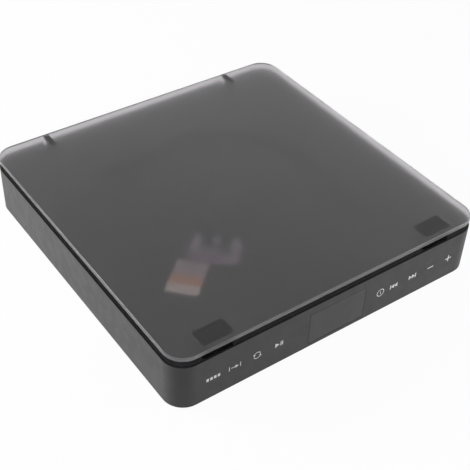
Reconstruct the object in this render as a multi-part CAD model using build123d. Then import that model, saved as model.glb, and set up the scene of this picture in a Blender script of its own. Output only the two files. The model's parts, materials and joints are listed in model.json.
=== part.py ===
"""Square top-loading disc player with a flip-up lid and touch keys on its front.

Millimetres. The origin is the centre of the footprint on the surface that the feet stand on.
+X is the right side seen from the front, +Y the rear, +Z up.
"""
from build123d import *
import os
from math import acos, cos, pi, radians, sin, tan

# Case
CASE_W = 200.0
CASE_D = 200.0
CORNER_R = 12.0
WALL_H = 29.0
WALL_T = 2.4
RIM_T = 1.0
PANEL_FIT = 0.1
DECK_T = 2.0
COVER_T = 2.0
CASE_EDGE_R = 0.6

# Feet
FOOT_STAND = 1.2
FOOT_SINK = 0.6
FOOT_R = 7.0
FOOT_FIT = 0.2
FOOT_SIDE = 26.0
FOOT_END = 16.0
FOOT_CHAMFER = 0.4

# Lid
LID_GAP = 4.0
LID_T = 2.6
LID_INSET = 0.3
LID_EDGE = 0.5

# Pads and catches at the lid's front corners
PAD_SIDE = 27.6
PAD_IN = 9.7
PAD_W = 18.0
PAD_D = 11.0
PAD_CORNER = 1.0
SOFT_GAP = 0.3
MAGNET_R = 3.0
MAGNET_T = 1.5
MAGNET_FIT = 0.1
CATCH_W = 12.0
CATCH_D = 7.0
CATCH_T = 0.8

# Hinges
HINGE_SIDE = 34.9
PIVOT_IN = 6.0
PIVOT_DOWN = 8.7
PIN_R = 1.5
PIN_FIT = 0.05
SEAT_FIT = 0.02
ARM_T = 3.3
ARM_EYE_R = 3.4
ARM_NECK = 5.0
ARM_FOOT_L = 11.0
ARM_FOOT_T = 1.6
ARM_SIDE_GAP = 0.3
ARM_SLOT_GAP = 0.6
ARM_SWING_GAP = 0.8
EAR_T = 2.0
EAR_R = 4.2
BRIDGE_T = 1.4
BRIDGE_GAP = 0.4
PIN_END = 0.4
FLANGE_W = 20.0
FLANGE_D = 9.0
FLANGE_T = 2.0
HINGE_SCREW_R = 1.0
HINGE_SCREW_X = 7.2
HINGE_SCREW_BITE = 1.3
HINGE_SCREW_HEAD_R = 1.9
HINGE_SCREW_HEAD_T = 1.2
HINGE_SCREW_BACK = 2.0

# Disc and its well
DISC_R = 60.0
DISC_HOLE_R = 7.5
DISC_T = 1.2
DISC_REST = 4.4
HUB_FIT = 0.1
WELL_GAP = 2.0
WELL_DEPTH = 6.0
WELL_WALL = 1.6
WELL_RIM = 0.6
SCOOP_R = 12.0
SCOOP_PAST = 4.0
SCOOP_DEPTH = 5.0
SCOOP_ANGLES = (135.0, 315.0)

# Case screws
SCREW_SIDE = 12.0
SCREW_END = 20.0
SCREW_SHANK_R = 1.15
SCREW_FIT = 0.05
SCREW_HEAD_R = 2.6
SCREW_HEAD_T = 1.8
SCREW_THREAD = 14.0
SCREW_SPARE = 1.0
POST_R = 3.8
BOSS_R = 3.2
POST_H = 10.8
HEAD_DEEP = 6.8
HEAD_HOLE_GAP = 0.3
SHANK_HOLE_GAP = 0.35

# Vents in the bottom
VENTS = 9
VENT_PITCH = 6.0
VENT_W = 2.0
VENT_L = 22.0

# Front: window, display and touch keys
WINDOW_W = 37.5
WINDOW_UP = 2.4
WINDOW_DOWN = 5.2
WINDOW_CORNER = 1.0
WINDOW_FIT = 0.2
WINDOW_LIP = 1.5
WINDOW_LIP_T = 1.0
LEFT_KEY = 38.2
RIGHT_KEY = 39.5
RING_KEY = 29.9
KEY_END = 5.7
KEYS_IN_ROW = 4
KEY_UP = 14.1
KEY_BOARD_SIDE = 14.0
KEY_BOARD_BACK = 6.2
KEY_BOARD_T = 1.2
KEY_BOARD_UP = 1.8
KEY_BOARD_DOWN = 4.2
TOUCH_W = 7.0
TOUCH_H = 5.0
DISPLAY_W = 32.0
DISPLAY_H = 14.0
DISPLAY_GAP = 0.3
HOLDER_OUT = 3.0
HOLDER_GRIP = 2.0
HOLDER_DEEP = 9.6
HOLDER_FIT = 0.1
HOLDER_ROOT = 0.3
SENSOR_W = 4.0
SENSOR_H = 3.0
SENSOR_T = 1.5

# Flat cables and their connectors
RIBBON_IN = 16.0
RIBBON_W = 10.0
RIBBON_T = 0.3
RIBBON_RUN = 3.0
RIBBON_BEND = 8.0
MOTOR_RIBBON_OUT = 46.0
CONNECTOR_W = 12.0
CONNECTOR_L = 3.0
CONNECTOR_H = 2.4
CONNECTOR_UP = 1.5
CONNECTOR_IN = 2.0

# Main board
BOARD_SIDE = 26.0
BOARD_CLEAR = 4.2
BOARD_BACK_GAP = 1.2
BOARD_UP = 4.0
BOARD_T = 1.6
BOARD_HOLE_IN = 6.0
BOARD_POST_R = 3.0
BOARD_HEAD_R = 2.4
BOARD_HEAD_T = 1.4
CHIP_W = 16.0
CHIP_T = 1.4
CHIP_X = -20.0
CHIP_IN = 26.4
FINS = 6
FIN_T = 0.8
FIN_H = 5.0
CAPACITORS = 3
CAPACITOR_R = 3.0
CAPACITOR_H = 7.0
CAP_X = 30.0
CAP_PITCH = 8.0

# Rear sockets
SOCKET_FLUSH = 0.2
SOCKET_FIT = 0.3
SHELL_T = 0.4
SOCKET_BACK = 1.2
TONGUE_SIDE = 1.2
TONGUE_IN = 1.0
TONGUE_DOWN = 0.9
USB_X = -6.0
USB_W = 13.2
USB_H = 5.8
USB_DEEP = 14.0
USB_TONGUE = 1.8
VIDEO_X = 22.0
VIDEO_W = 15.0
VIDEO_H = 5.5
VIDEO_DEEP = 11.0
VIDEO_SLOPE = 1.8
VIDEO_TONGUE = 1.0
JACK_X = -30.0
JACK_BODY = 7.0
JACK_DEEP = 12.0
JACK_R = 1.8
JACK_NOSE_R = 3.0
INLET_X = 46.0
INLET_BODY_W = 9.0
INLET_BODY_H = 10.4
INLET_DEEP = 13.0
INLET_R = 3.1
INLET_NOSE_R = 3.9
INLET_PIN_R = 1.0
INLET_HOLE_DEEP = 9.5
INLET_UP = 5.6
INLET_PIN_IN = 1.0

# Mechanism plate and its soft mounts. The mechanism is drawn with its pickup running along X and is
# then turned about the spindle to run toward the front left corner.
TRAVERSE_ANGLE = 225.0
CHASSIS_X0 = -30.0
CHASSIS_Y0 = -44.0
CHASSIS_Y1 = 36.0
CHASSIS_T = 2.0
CHASSIS_CORNER = 9.0
SKIRT_T = 1.2
SKIRT_H = 2.0
DAMPER_IN = 7.0
DAMPER_R = 4.6
DAMPER_NECK = 3.2
DAMPER_BORE = 2.1
DAMPER_FLANGE = 1.6
DAMPER_POST_R = 3.4
SHOULDER_R = 2.0
SHOULDER_HEAD_R = 4.0
SHOULDER_HEAD_T = 1.2
SHOULDER_THREAD = 6.0
SMALL_SCREW_R = 0.7
SMALL_HEAD_R = 1.4
SMALL_HEAD_T = 0.8
SCREW_MARGIN = 3.0

# Spindle motor and turntable
MOTOR_BASE_X0 = -24.0
MOTOR_BASE_X1 = 13.5
MOTOR_BASE_W = 28.0
MOTOR_BASE_T = 1.0
BEARING_R = 3.0
BEARING_DOWN = 5.0
BEARING_GAP = 0.2
BEARING_FLOOR = 0.8
SHAFT_R = 1.0
COIL_R = 10.6
COIL_DOWN = 1.0
COIL_T = 2.4
COIL_POLES = 9
COIL_CORE_R = 5.0
COIL_SLOT = 1.2
ROTOR_R = 13.0
ROTOR_H = 4.4
ROTOR_GAP = 0.8
ROTOR_T = 0.8
PLATTER_R = 15.0
PLATTER_T = 1.6
PLATTER_NECK_R = 4.0
PLATTER_NECK_H = 1.6
MAT_R = 14.6
MAT_IN = 11.0
MAT_T = 0.4
HUB_UP = 2.4
HUB_TAPER = 0.8
FLOOR_HOLE_GAP = 2.0

# Snap jaws in the hub
JAWS = 3
JAW_W = 2.4
JAW_IN = 4.0
JAW_PROUD = 0.5
JAW_TRAVEL = 0.7
JAW_T = 1.0
JAW_OVER_DISC = 0.1
JAW_FIT = 0.15
JAW_NOSE_SHARE = 0.45
JAW_SPRING_R = 3.2
JAW_SPRING_T = 0.3
JAW_SPRING_W = 0.8
JAW_SPRING_SPLIT = 1.0
JAW_SPRING_GAP = 0.3
CAP_R = 6.6
CAP_T = 0.6

# Guide rods and sled
ROD_R = 1.5
ROD_Y = 19.0
ROD_UNDER = 0.3
ROD_BLOCK_W = 6.0
ROD_BLOCK_L = 4.0
ROD_INNER = 10.0
ROD_STOP = 1.0
ROD_BLOCK_WALL = 1.2
SLED_HOME = 16.0
SLED_REST = 14.0
SLED_L = 26.0
SLED_W = 30.0
SLED_CORNER = 2.5
SLED_DOWN = 3.5
SLED_OVER_ROD = 0.8
SLED_END_GAP = 1.0
LUG_L = 5.0
LUG_OUT = 23.0
LUG_UNDER_ROD = 0.9
FORK_L = 7.0
SLIDE_FIT = 0.05
OPENING_GAP = 1.0
SLED_WALL = 1.4

# Lens
LENS_HOME = 23.0
LAST_TRACK_IN = 2.5
LENS_R = 2.6
LENS_SEAT = 0.6
LENS_DOME = 0.8
LENS_PROUD = 0.3
LENS_WORK = 1.7
FOCUS = 0.4
HOLDER_L = 11.0
HOLDER_W = 16.0
HOLDER_T = 1.4
HOLDER_CORNER = 1.5
HOLDER_CLEAR = 0.1
TURRET_R = 3.6
YOKE_T = 0.4
YOKE_RIM = 2.4
YOKE_POST_T = 1.6
YOKE_POST_H = 1.9
YOKE_GAP = 0.7
YOKE_BLOCK_W = 10.6
BEAM_R = 3.0
SLOT_W = 30.0

# Gears and rack
GEAR_MODULE = 0.6
PRESSURE = radians(25.0)
ADDENDUM = 0.8
DEDENDUM = 1.0
BACKLASH = 0.10
PINION_TEETH = 10
WHEEL_TEETH = 36
STEP_TEETH = 12
RACK_START = 2.0
RACK_PAST = 3.5
RACK_UP = 1.0
RACK_H = 2.4
RACK_BACK = 2.0
STEP_UP = 0.4
WHEEL_GAP = 0.3
WHEEL_T = 1.2
AXLE_R = 1.0
AXLE_FIT = 0.05
AXLE_BOSS = 1.6
CLIP_R = 1.8
CLIP_T = 0.4
CLIP_GAP = 0.08
MESH_ANGLE = -20.0
FEED_CAN_R = 7.7
FEED_CAN_H = 10.2
FEED_CAN_EDGE = 0.6
FEED_SHAFT_R = 0.75
FEED_HOLE_R = 2.0
FEED_SHAFT_FLOOR = 1.0
FEED_SCREW_OUT = 4.8

# How far a cutting solid runs past the face that it opens
OVER = 1.0


def turned(x, y):
    """A place in the mechanism's own axes, given in the case's axes."""
    a = radians(TRAVERSE_ANGLE)
    return x * cos(a) - y * sin(a), x * sin(a) + y * cos(a)


# Levels and places worked out from the sizes above
CASE_LOW = FOOT_STAND
DECK_TOP = CASE_LOW + WALL_H
DECK_LOW = DECK_TOP - DECK_T
LID_LOW = DECK_TOP + LID_GAP
LID_TOP = LID_LOW + LID_T
COVER_TOP = CASE_LOW + COVER_T
FRONT = -CASE_D / 2
REAR = CASE_D / 2
FRONT_IN = FRONT + WALL_T
REAR_IN = REAR - WALL_T
SCREW_X = CASE_W / 2 - SCREW_SIDE
SCREW_Y = CASE_D / 2 - SCREW_END
BOSS_PLACES = [(sx * SCREW_X, sy * SCREW_Y) for sx in (-1, 1) for sy in (-1, 1)]
POST_TOP = COVER_TOP + POST_H
HEAD_SEAT = CASE_LOW + HEAD_DEEP
FOOT_X = CASE_W / 2 - FOOT_SIDE
FOOT_Y = CASE_D / 2 - FOOT_END
FOOT_PLACES = [(sx * FOOT_X, sy * FOOT_Y) for sx in (-1, 1) for sy in (-1, 1)]

# Hinges and pads
HINGE_X = CASE_W / 2 - HINGE_SIDE
PIVOT_Y = REAR - PIVOT_IN
PIVOT_Z = DECK_TOP - PIVOT_DOWN
HINGE_SCREW_Y = PIVOT_Y - HINGE_SCREW_BACK
HINGE_SCREWS = [
    (sx * HINGE_X + side * HINGE_SCREW_X, HINGE_SCREW_Y)
    for sx in (-1, 1)
    for side in (-1, 1)
]
PAD_X = CASE_W / 2 - PAD_SIDE
PAD_Y = FRONT + PAD_IN

# Disc well
DISC_HUB_R = DISC_HOLE_R - HUB_FIT
DISC_LOW = DECK_TOP - DISC_REST
DISC_TOP = DISC_LOW + DISC_T
WELL_R = DISC_R + WELL_GAP
WELL_FLOOR = DECK_TOP - WELL_DEPTH
WELL_LOW = WELL_FLOOR - WELL_WALL
SCOOP_OUT = WELL_R + SCOOP_PAST

# Front electronics
WINDOW_H = WALL_H - WINDOW_UP - WINDOW_DOWN
KEY_Z = CASE_LOW + KEY_UP
KEY_BOARD_W = CASE_W - 2 * KEY_BOARD_SIDE
KEY_BOARD_Y = FRONT_IN + KEY_BOARD_BACK
KEY_BOARD_LOW = COVER_TOP + KEY_BOARD_UP
KEY_BOARD_HIGH = DECK_LOW - KEY_BOARD_DOWN
KEY_PITCH = (KEY_BOARD_W / 2 - KEY_END - RIGHT_KEY) / (KEYS_IN_ROW - 1)
LEFT_KEYS = [-(LEFT_KEY + i * KEY_PITCH) for i in range(KEYS_IN_ROW)]
RIGHT_KEYS = [RIGHT_KEY + i * KEY_PITCH for i in range(KEYS_IN_ROW)]
KEY_PLACES = LEFT_KEYS + [RING_KEY] + RIGHT_KEYS

# Mechanism levels, from the disc downward
PLATTER_TOP = DISC_LOW - MAT_T
PLATTER_LOW = PLATTER_TOP - PLATTER_T
ROTOR_TOP = PLATTER_LOW - PLATTER_NECK_H
ROTOR_LOW = ROTOR_TOP - ROTOR_H
ROTOR_ROOF = ROTOR_TOP - ROTOR_T
COIL_TOP = ROTOR_ROOF - COIL_DOWN
COIL_LOW = COIL_TOP - COIL_T
BASE_TOP = ROTOR_LOW - ROTOR_GAP
CHASSIS_TOP = BASE_TOP - MOTOR_BASE_T
CHASSIS_LOW = CHASSIS_TOP - CHASSIS_T
BEARING_TOP = ROTOR_ROOF - BEARING_GAP
BEARING_LOW = CHASSIS_TOP - BEARING_DOWN
HUB_TOP = DISC_LOW + HUB_UP
JAW_LOW = DISC_TOP + JAW_OVER_DISC
JAW_SLOT_IN = JAW_IN - JAW_TRAVEL
DAMPER_LOW = CHASSIS_LOW - DAMPER_FLANGE
DAMPER_TOP = CHASSIS_TOP + DAMPER_FLANGE
ROD_LEVEL = CHASSIS_TOP + ROD_UNDER + ROD_R
SLED_TOP = ROD_LEVEL + ROD_R + SLED_OVER_ROD
SLED_LOW = CHASSIS_LOW - SLED_DOWN
LUG_LOW = ROD_LEVEL - ROD_R - LUG_UNDER_ROD
HOLDER_LOW = SLED_TOP + FOCUS + HOLDER_CLEAR
HOLDER_TOP = HOLDER_LOW + HOLDER_T
LENS_TOP = DISC_LOW - LENS_WORK
TURRET_TOP = LENS_TOP - LENS_PROUD
STEP_LOW = CHASSIS_TOP + STEP_UP
WHEEL_LOW = SLED_TOP + WHEEL_GAP
WHEEL_TOP = WHEEL_LOW + WHEEL_T
RACK_LOW = CHASSIS_TOP + RACK_UP

# Mechanism places
SLED_TRAVEL = DISC_R - LAST_TRACK_IN - LENS_HOME
SLED_END = SLED_HOME + SLED_L + SLED_TRAVEL + SLED_END_GAP
SLED_X = SLED_HOME + SLED_REST
LENS_X = LENS_HOME + SLED_REST
CHASSIS_X1 = SLED_END + ROD_BLOCK_L
DAMPER_PLACES = [
    (x, y)
    for x in (CHASSIS_X0 + DAMPER_IN, CHASSIS_X1 - DAMPER_IN)
    for y in (CHASSIS_Y0 + DAMPER_IN, CHASSIS_Y1 - DAMPER_IN)
]
PITCH = pi * GEAR_MODULE
STEP_PITCH_R = STEP_TEETH * GEAR_MODULE / 2
RACK_PITCH_Y = -(LUG_OUT + RACK_BACK + DEDENDUM * GEAR_MODULE)
RACK_X0 = RACK_START + SLED_REST
RACK_X1 = RACK_X0 + SLED_TRAVEL + 2 * RACK_PAST
GEAR_X = RACK_START + SLED_TRAVEL + RACK_PAST
GEAR_Y = RACK_PITCH_Y - STEP_PITCH_R
MESH_DISTANCE = (PINION_TEETH + WHEEL_TEETH) * GEAR_MODULE / 2
FEED_X = GEAR_X + MESH_DISTANCE * cos(radians(MESH_ANGLE))
FEED_Y = GEAR_Y + MESH_DISTANCE * sin(radians(MESH_ANGLE))
FEED_LOW = CHASSIS_LOW - FEED_CAN_H
BASE_SCREW_X = MOTOR_BASE_X0 + SCREW_MARGIN
BASE_SCREW_Y = MOTOR_BASE_W / 2 - SCREW_MARGIN
BASE_SCREWS = [(BASE_SCREW_X, y, BASE_TOP) for y in (-BASE_SCREW_Y, 0.0, BASE_SCREW_Y)]
FEED_SCREWS = [(FEED_X, FEED_Y + side * FEED_SCREW_OUT, CHASSIS_TOP) for side in (-1, 1)]

# Main board
BOARD_LOW = COVER_TOP + BOARD_UP
BOARD_TOP = BOARD_LOW + BOARD_T
BOARD_W = CASE_W - 2 * BOARD_SIDE
BOARD_BACK = REAR_IN - BOARD_BACK_GAP
BOARD_FRONT = max(turned(*place)[1] for place in DAMPER_PLACES) + DAMPER_POST_R + BOARD_CLEAR
BOARD_HOLE_X = BOARD_W / 2 - BOARD_HOLE_IN
BOARD_HOLES = [
    (sx * BOARD_HOLE_X, y)
    for sx in (-1, 1)
    for y in (BOARD_FRONT + BOARD_HOLE_IN, BOARD_BACK - BOARD_HOLE_IN)
]
CHIP_Y = BOARD_BACK - CHIP_IN
RIBBON_X = BOARD_W / 2 - RIBBON_IN


def block(x0, x1, y0, y1, z0, z1):
    """Box between two corners."""
    return Pos((x0 + x1) / 2, (y0 + y1) / 2, (z0 + z1) / 2) * Box(x1 - x0, y1 - y0, z1 - z0)


def post(x, y, z0, z1, r):
    """Upright cylinder."""
    return Pos(x, y, (z0 + z1) / 2) * Cylinder(r, z1 - z0)


def bar_x(x0, x1, y, z, r):
    """Cylinder along X."""
    return Pos((x0 + x1) / 2, y, z) * Rot(0, 90, 0) * Cylinder(r, x1 - x0)


def bar_y(x, y0, y1, z, r):
    """Cylinder along Y."""
    return Pos(x, (y0 + y1) / 2, z) * Rot(90, 0, 0) * Cylinder(r, y1 - y0)


def panel(width, depth, corner, z0, z1):
    """Flat plate with rounded corners, centred on the origin."""
    return Pos(0, 0, z0) * extrude(RectangleRounded(width, depth, corner), amount=z1 - z0)


def group(solids):
    """Separate solids kept in one node."""
    return Compound(children=list(solids))


def turned_shape(shape):
    """A piece drawn in the mechanism's own axes, put in its place in the case."""
    solids = [Rot(0, 0, TRAVERSE_ANGLE) * solid for solid in shape.solids()]
    return solids[0] if len(solids) == 1 else group(solids)


# Case shells


def panel_in_rebate(z0, z1):
    """A panel that drops into the rebate at the case's top or bottom edge."""
    inset = RIM_T + PANEL_FIT
    return panel(CASE_W - 2 * inset, CASE_D - 2 * inset, CORNER_R - inset, z0, z1)


def arm_slots(clear, y_front, z_low):
    """The upright slots that the hinge arms swing through, open at the top and the rear."""
    half = ARM_T / 2 + clear
    slots = [block(sx * HINGE_X - half, sx * HINGE_X + half, y_front, REAR + OVER, z_low, DECK_TOP + OVER)
             for sx in (-1, 1)]
    return slots[0] + slots[1]


def window_opening():
    """The opening in the front wall for the display window."""
    outline = RectangleRounded(WINDOW_W, WINDOW_H, WINDOW_CORNER)
    place = Pos(0, FRONT - OVER, CASE_LOW + WINDOW_UP + WINDOW_H / 2) * Rot(-90, 0, 0)
    return place * extrude(outline, amount=WALL_T + 2)


def socket_openings():
    """The openings in the rear wall in front of the sockets."""
    y0, y1 = REAR_IN - OVER, REAR + OVER
    fit = SOCKET_FIT
    usb = block(USB_X - USB_W / 2 - fit, USB_X + USB_W / 2 + fit, y0, y1,
                BOARD_TOP - fit, BOARD_TOP + USB_H + fit)
    video = block(VIDEO_X - VIDEO_W / 2 - fit, VIDEO_X + VIDEO_W / 2 + fit, y0, y1,
                  BOARD_TOP - fit, BOARD_TOP + VIDEO_H + fit)
    jack = bar_y(JACK_X, y0, y1, BOARD_TOP + JACK_BODY / 2, JACK_NOSE_R + fit)
    inlet = bar_y(INLET_X, y0, y1, BOARD_TOP + INLET_UP, INLET_NOSE_R + fit)
    return usb + video + jack + inlet


def make_upper_case():
    """Wall ring with a rebate at its top and bottom edge, and the holders of the key board."""
    ring = panel(CASE_W, CASE_D, CORNER_R, CASE_LOW, DECK_TOP)
    ring = fillet(ring.edges().group_by(Axis.Z)[0], CASE_EDGE_R)
    ring -= panel(CASE_W - 2 * WALL_T, CASE_D - 2 * WALL_T, CORNER_R - WALL_T,
                  CASE_LOW - OVER, DECK_TOP + OVER)
    rebate = (CASE_W - 2 * RIM_T, CASE_D - 2 * RIM_T, CORNER_R - RIM_T)
    ring -= panel(*rebate, DECK_LOW, DECK_TOP + OVER)
    ring -= panel(*rebate, CASE_LOW - OVER, COVER_TOP)
    end = KEY_BOARD_W / 2 + HOLDER_FIT
    board_space = block(-end, end, KEY_BOARD_Y - HOLDER_FIT, KEY_BOARD_Y + KEY_BOARD_T + HOLDER_FIT,
                        KEY_BOARD_LOW - HOLDER_FIT, KEY_BOARD_HIGH + OVER)
    for sx in (-1, 1):
        x0, x1 = sorted((sx * (end - HOLDER_GRIP), sx * (end + HOLDER_OUT)))
        holder = block(x0, x1, FRONT_IN - HOLDER_ROOT, FRONT_IN + HOLDER_DEEP, COVER_TOP + HOLDER_FIT,
                       KEY_BOARD_HIGH)
        ring += holder - board_space
    notch_low = PIVOT_Z - ARM_EYE_R - BRIDGE_GAP
    return ring - window_opening() - socket_openings() - arm_slots(ARM_SLOT_GAP, REAR_IN - OVER, notch_low)


def scoop(angle, r, z0, z1):
    """Round finger scoop at the well's edge."""
    x = SCOOP_OUT * cos(radians(angle))
    y = SCOOP_OUT * sin(radians(angle))
    return post(x, y, z0, z1, r)


def rim_bevel(x, y, r):
    """Cone that bevels the deck's top edge round a recess."""
    return Pos(x, y, DECK_TOP - WELL_RIM / 2) * Cone(r, r + WELL_RIM, WELL_RIM)


def make_top_deck():
    """Glossy top with the disc well, finger scoops, pickup slot, hinge slots and screw bosses."""
    deck = panel_in_rebate(DECK_LOW, DECK_TOP)
    deck += post(0, 0, WELL_LOW, DECK_TOP, WELL_R + WELL_WALL)
    scoop_floor = DECK_TOP - SCOOP_DEPTH
    for angle in SCOOP_ANGLES:
        deck += scoop(angle, SCOOP_R + WELL_WALL, scoop_floor - WELL_WALL, DECK_TOP)
    for x, y in BOSS_PLACES:
        deck += post(x, y, POST_TOP, DECK_TOP - DECK_T / 2, BOSS_R)
        deck -= post(x, y, POST_TOP - OVER, HEAD_SEAT + SCREW_THREAD + SCREW_SPARE, SCREW_SHANK_R + SCREW_FIT)
    deck -= post(0, 0, WELL_FLOOR, DECK_TOP + OVER, WELL_R)
    for angle in SCOOP_ANGLES:
        deck -= scoop(angle, SCOOP_R, scoop_floor, DECK_TOP + OVER)
    deck -= post(0, 0, WELL_LOW - OVER, WELL_FLOOR + OVER, PLATTER_R + FLOOR_HOLE_GAP)
    slot = block(0, WELL_R + OVER, -SLOT_W / 2, SLOT_W / 2, WELL_LOW - OVER, WELL_FLOOR + OVER)
    deck -= turned_shape(slot & post(0, 0, WELL_LOW - OVER, WELL_FLOOR + OVER, WELL_R))
    deck -= rim_bevel(0, 0, WELL_R)
    for angle in SCOOP_ANGLES:
        deck -= rim_bevel(SCOOP_OUT * cos(radians(angle)), SCOOP_OUT * sin(radians(angle)), SCOOP_R)
    deck -= arm_slots(ARM_SLOT_GAP, PIVOT_Y - ARM_NECK / 2 - ARM_SWING_GAP, DECK_LOW - OVER)
    for x, y in HINGE_SCREWS:
        deck -= post(x, y, DECK_LOW - OVER, DECK_LOW + HINGE_SCREW_BITE + SCREW_FIT,
                     HINGE_SCREW_R + SCREW_FIT)
    return deck


def make_bottom_cover():
    """Bottom plate with its screw posts, board posts, damper posts, foot recesses and vents."""
    cover = panel_in_rebate(CASE_LOW, COVER_TOP)
    for x, y in BOSS_PLACES:
        cover += post(x, y, COVER_TOP - OVER, POST_TOP, POST_R)
        cover -= post(x, y, CASE_LOW - OVER, HEAD_SEAT, SCREW_HEAD_R + HEAD_HOLE_GAP)
        cover -= post(x, y, CASE_LOW, POST_TOP + OVER, SCREW_SHANK_R + SHANK_HOLE_GAP)
    for x, y in BOARD_HOLES:
        cover += post(x, y, COVER_TOP - OVER, BOARD_LOW, BOARD_POST_R)
        cover -= post(x, y, COVER_TOP, BOARD_LOW + OVER, SCREW_SHANK_R + SCREW_FIT)
    for x, y in [turned(*place) for place in DAMPER_PLACES]:
        cover += post(x, y, COVER_TOP - OVER, DAMPER_LOW, DAMPER_POST_R)
        cover -= post(x, y, DAMPER_LOW - SHOULDER_THREAD - SCREW_SPARE, DAMPER_LOW + OVER,
                      SCREW_SHANK_R + SCREW_FIT)
    for x, y in FOOT_PLACES:
        cover -= post(x, y, CASE_LOW - OVER, CASE_LOW + FOOT_SINK, FOOT_R + FOOT_FIT)
    for i in range(VENTS):
        x = (i - (VENTS - 1) / 2) * VENT_PITCH
        cover -= block(x - VENT_W / 2, x + VENT_W / 2, CHIP_Y - VENT_L / 2, CHIP_Y + VENT_L / 2,
                       CASE_LOW - OVER, COVER_TOP + OVER)
    return cover


def make_feet():
    """Four rubber feet stuck in the bottom's recesses."""
    feet = []
    for x, y in FOOT_PLACES:
        foot = post(x, y, 0, CASE_LOW + FOOT_SINK, FOOT_R)
        feet.append(chamfer(foot.edges().sort_by(Axis.Z)[0], FOOT_CHAMFER))
    return group(feet)


def screw(x, y, seat, thread, shank_r, head_r, head_t, up=1):
    """Screw whose head sits against the face at height seat, with its thread going up or down."""
    ends = sorted((seat, seat + up * thread))
    heads = sorted((seat, seat - up * head_t))
    return post(x, y, ends[0], ends[1], shank_r) + post(x, y, heads[0], heads[1], head_r)


def make_case_screws():
    """Long screws that pull the bottom cover to the deck's bosses."""
    return group(screw(x, y, HEAD_SEAT, SCREW_THREAD, SCREW_SHANK_R, SCREW_HEAD_R, SCREW_HEAD_T)
                 for x, y in BOSS_PLACES)


# Lid


def make_lid_panel():
    """Clear lid plate with its edges broken."""
    lid = panel(CASE_W - 2 * LID_INSET, CASE_D - 2 * LID_INSET, CORNER_R - LID_INSET, LID_LOW, LID_TOP)
    return chamfer(lid.edges().group_by(Axis.Z)[-1], LID_EDGE)


def make_hinge_arm(x):
    """Arm with an eye on the pin, a neck and a foot that is glued under the lid."""
    x0, x1 = x - ARM_T / 2, x + ARM_T / 2
    arm = bar_x(x0, x1, PIVOT_Y, PIVOT_Z, ARM_EYE_R)
    arm += block(x0, x1, PIVOT_Y - ARM_NECK / 2, PIVOT_Y + ARM_NECK / 2, PIVOT_Z, LID_LOW)
    arm += block(x0, x1, PIVOT_Y - ARM_FOOT_L / 2, PIVOT_Y + ARM_FOOT_L / 2, LID_LOW - ARM_FOOT_T, LID_LOW)
    return arm - bar_x(x0 - OVER, x1 + OVER, PIVOT_Y, PIVOT_Z, PIN_R + PIN_FIT)


def make_lid_pad(x):
    """Rubber pad under a front corner of the lid, with a pocket for its magnet."""
    height = LID_GAP - SOFT_GAP
    pad = Pos(x, PAD_Y, LID_LOW - height) * extrude(RectangleRounded(PAD_W, PAD_D, PAD_CORNER), amount=height)
    return pad - post(x, PAD_Y, LID_LOW - MAGNET_T - MAGNET_FIT, LID_LOW + OVER, MAGNET_R + MAGNET_FIT)


def make_lid_magnets():
    """Disc magnets in the pads' pockets."""
    return group(post(sx * PAD_X, PAD_Y, LID_LOW - MAGNET_T, LID_LOW, MAGNET_R) for sx in (-1, 1))


def make_catch_plates():
    """Steel plates under the deck that the magnets pull on."""
    return group(block(sx * PAD_X - CATCH_W / 2, sx * PAD_X + CATCH_W / 2, PAD_Y - CATCH_D / 2,
                       PAD_Y + CATCH_D / 2, DECK_LOW - CATCH_T, DECK_LOW) for sx in (-1, 1))


# Hinge brackets


def make_hinge_bracket(x):
    """Two ears and a bridge that carry the pin, hung from a flange under the deck."""
    ear_in = ARM_T / 2 + ARM_SIDE_GAP
    ear_out = ear_in + EAR_T
    y_back = REAR_IN - PANEL_FIT
    bridge_top = PIVOT_Z - ARM_EYE_R - BRIDGE_GAP
    low = bridge_top - BRIDGE_T
    flange = block(x - FLANGE_W / 2, x + FLANGE_W / 2, y_back - FLANGE_D, y_back,
                   DECK_LOW - FLANGE_T, DECK_LOW)
    ears = block(x - ear_out, x + ear_out, PIVOT_Y - EAR_R, y_back, low, DECK_LOW)
    ears = chamfer(ears.edges().filter_by(Axis.X).sort_by(Axis.Z)[0:2].sort_by(Axis.Y)[0], EAR_R / 2)
    bracket = flange + ears
    bracket -= block(x - ear_in, x + ear_in, PIVOT_Y - EAR_R - FLANGE_D, REAR, bridge_top, DECK_LOW + OVER)
    bracket -= bar_x(x - ear_out - OVER, x + ear_out + OVER, PIVOT_Y, PIVOT_Z, PIN_R + SEAT_FIT)
    for sx in (-1, 1):
        bracket -= post(x + sx * HINGE_SCREW_X, HINGE_SCREW_Y, DECK_LOW - FLANGE_T - OVER, DECK_LOW + OVER,
                        HINGE_SCREW_R + SCREW_FIT)
    return bracket


def make_hinge_pin(x):
    """Steel pin pressed through the bracket's ears."""
    half = ARM_T / 2 + ARM_SIDE_GAP + EAR_T + PIN_END
    return bar_x(x - half, x + half, PIVOT_Y, PIVOT_Z, PIN_R)


def make_hinge_screws():
    """Short screws that hold the brackets under the deck."""
    return group(screw(x, y, DECK_LOW - FLANGE_T, FLANGE_T + HINGE_SCREW_BITE, HINGE_SCREW_R,
                       HINGE_SCREW_HEAD_R, HINGE_SCREW_HEAD_T) for x, y in HINGE_SCREWS)


# Front electronics


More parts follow.
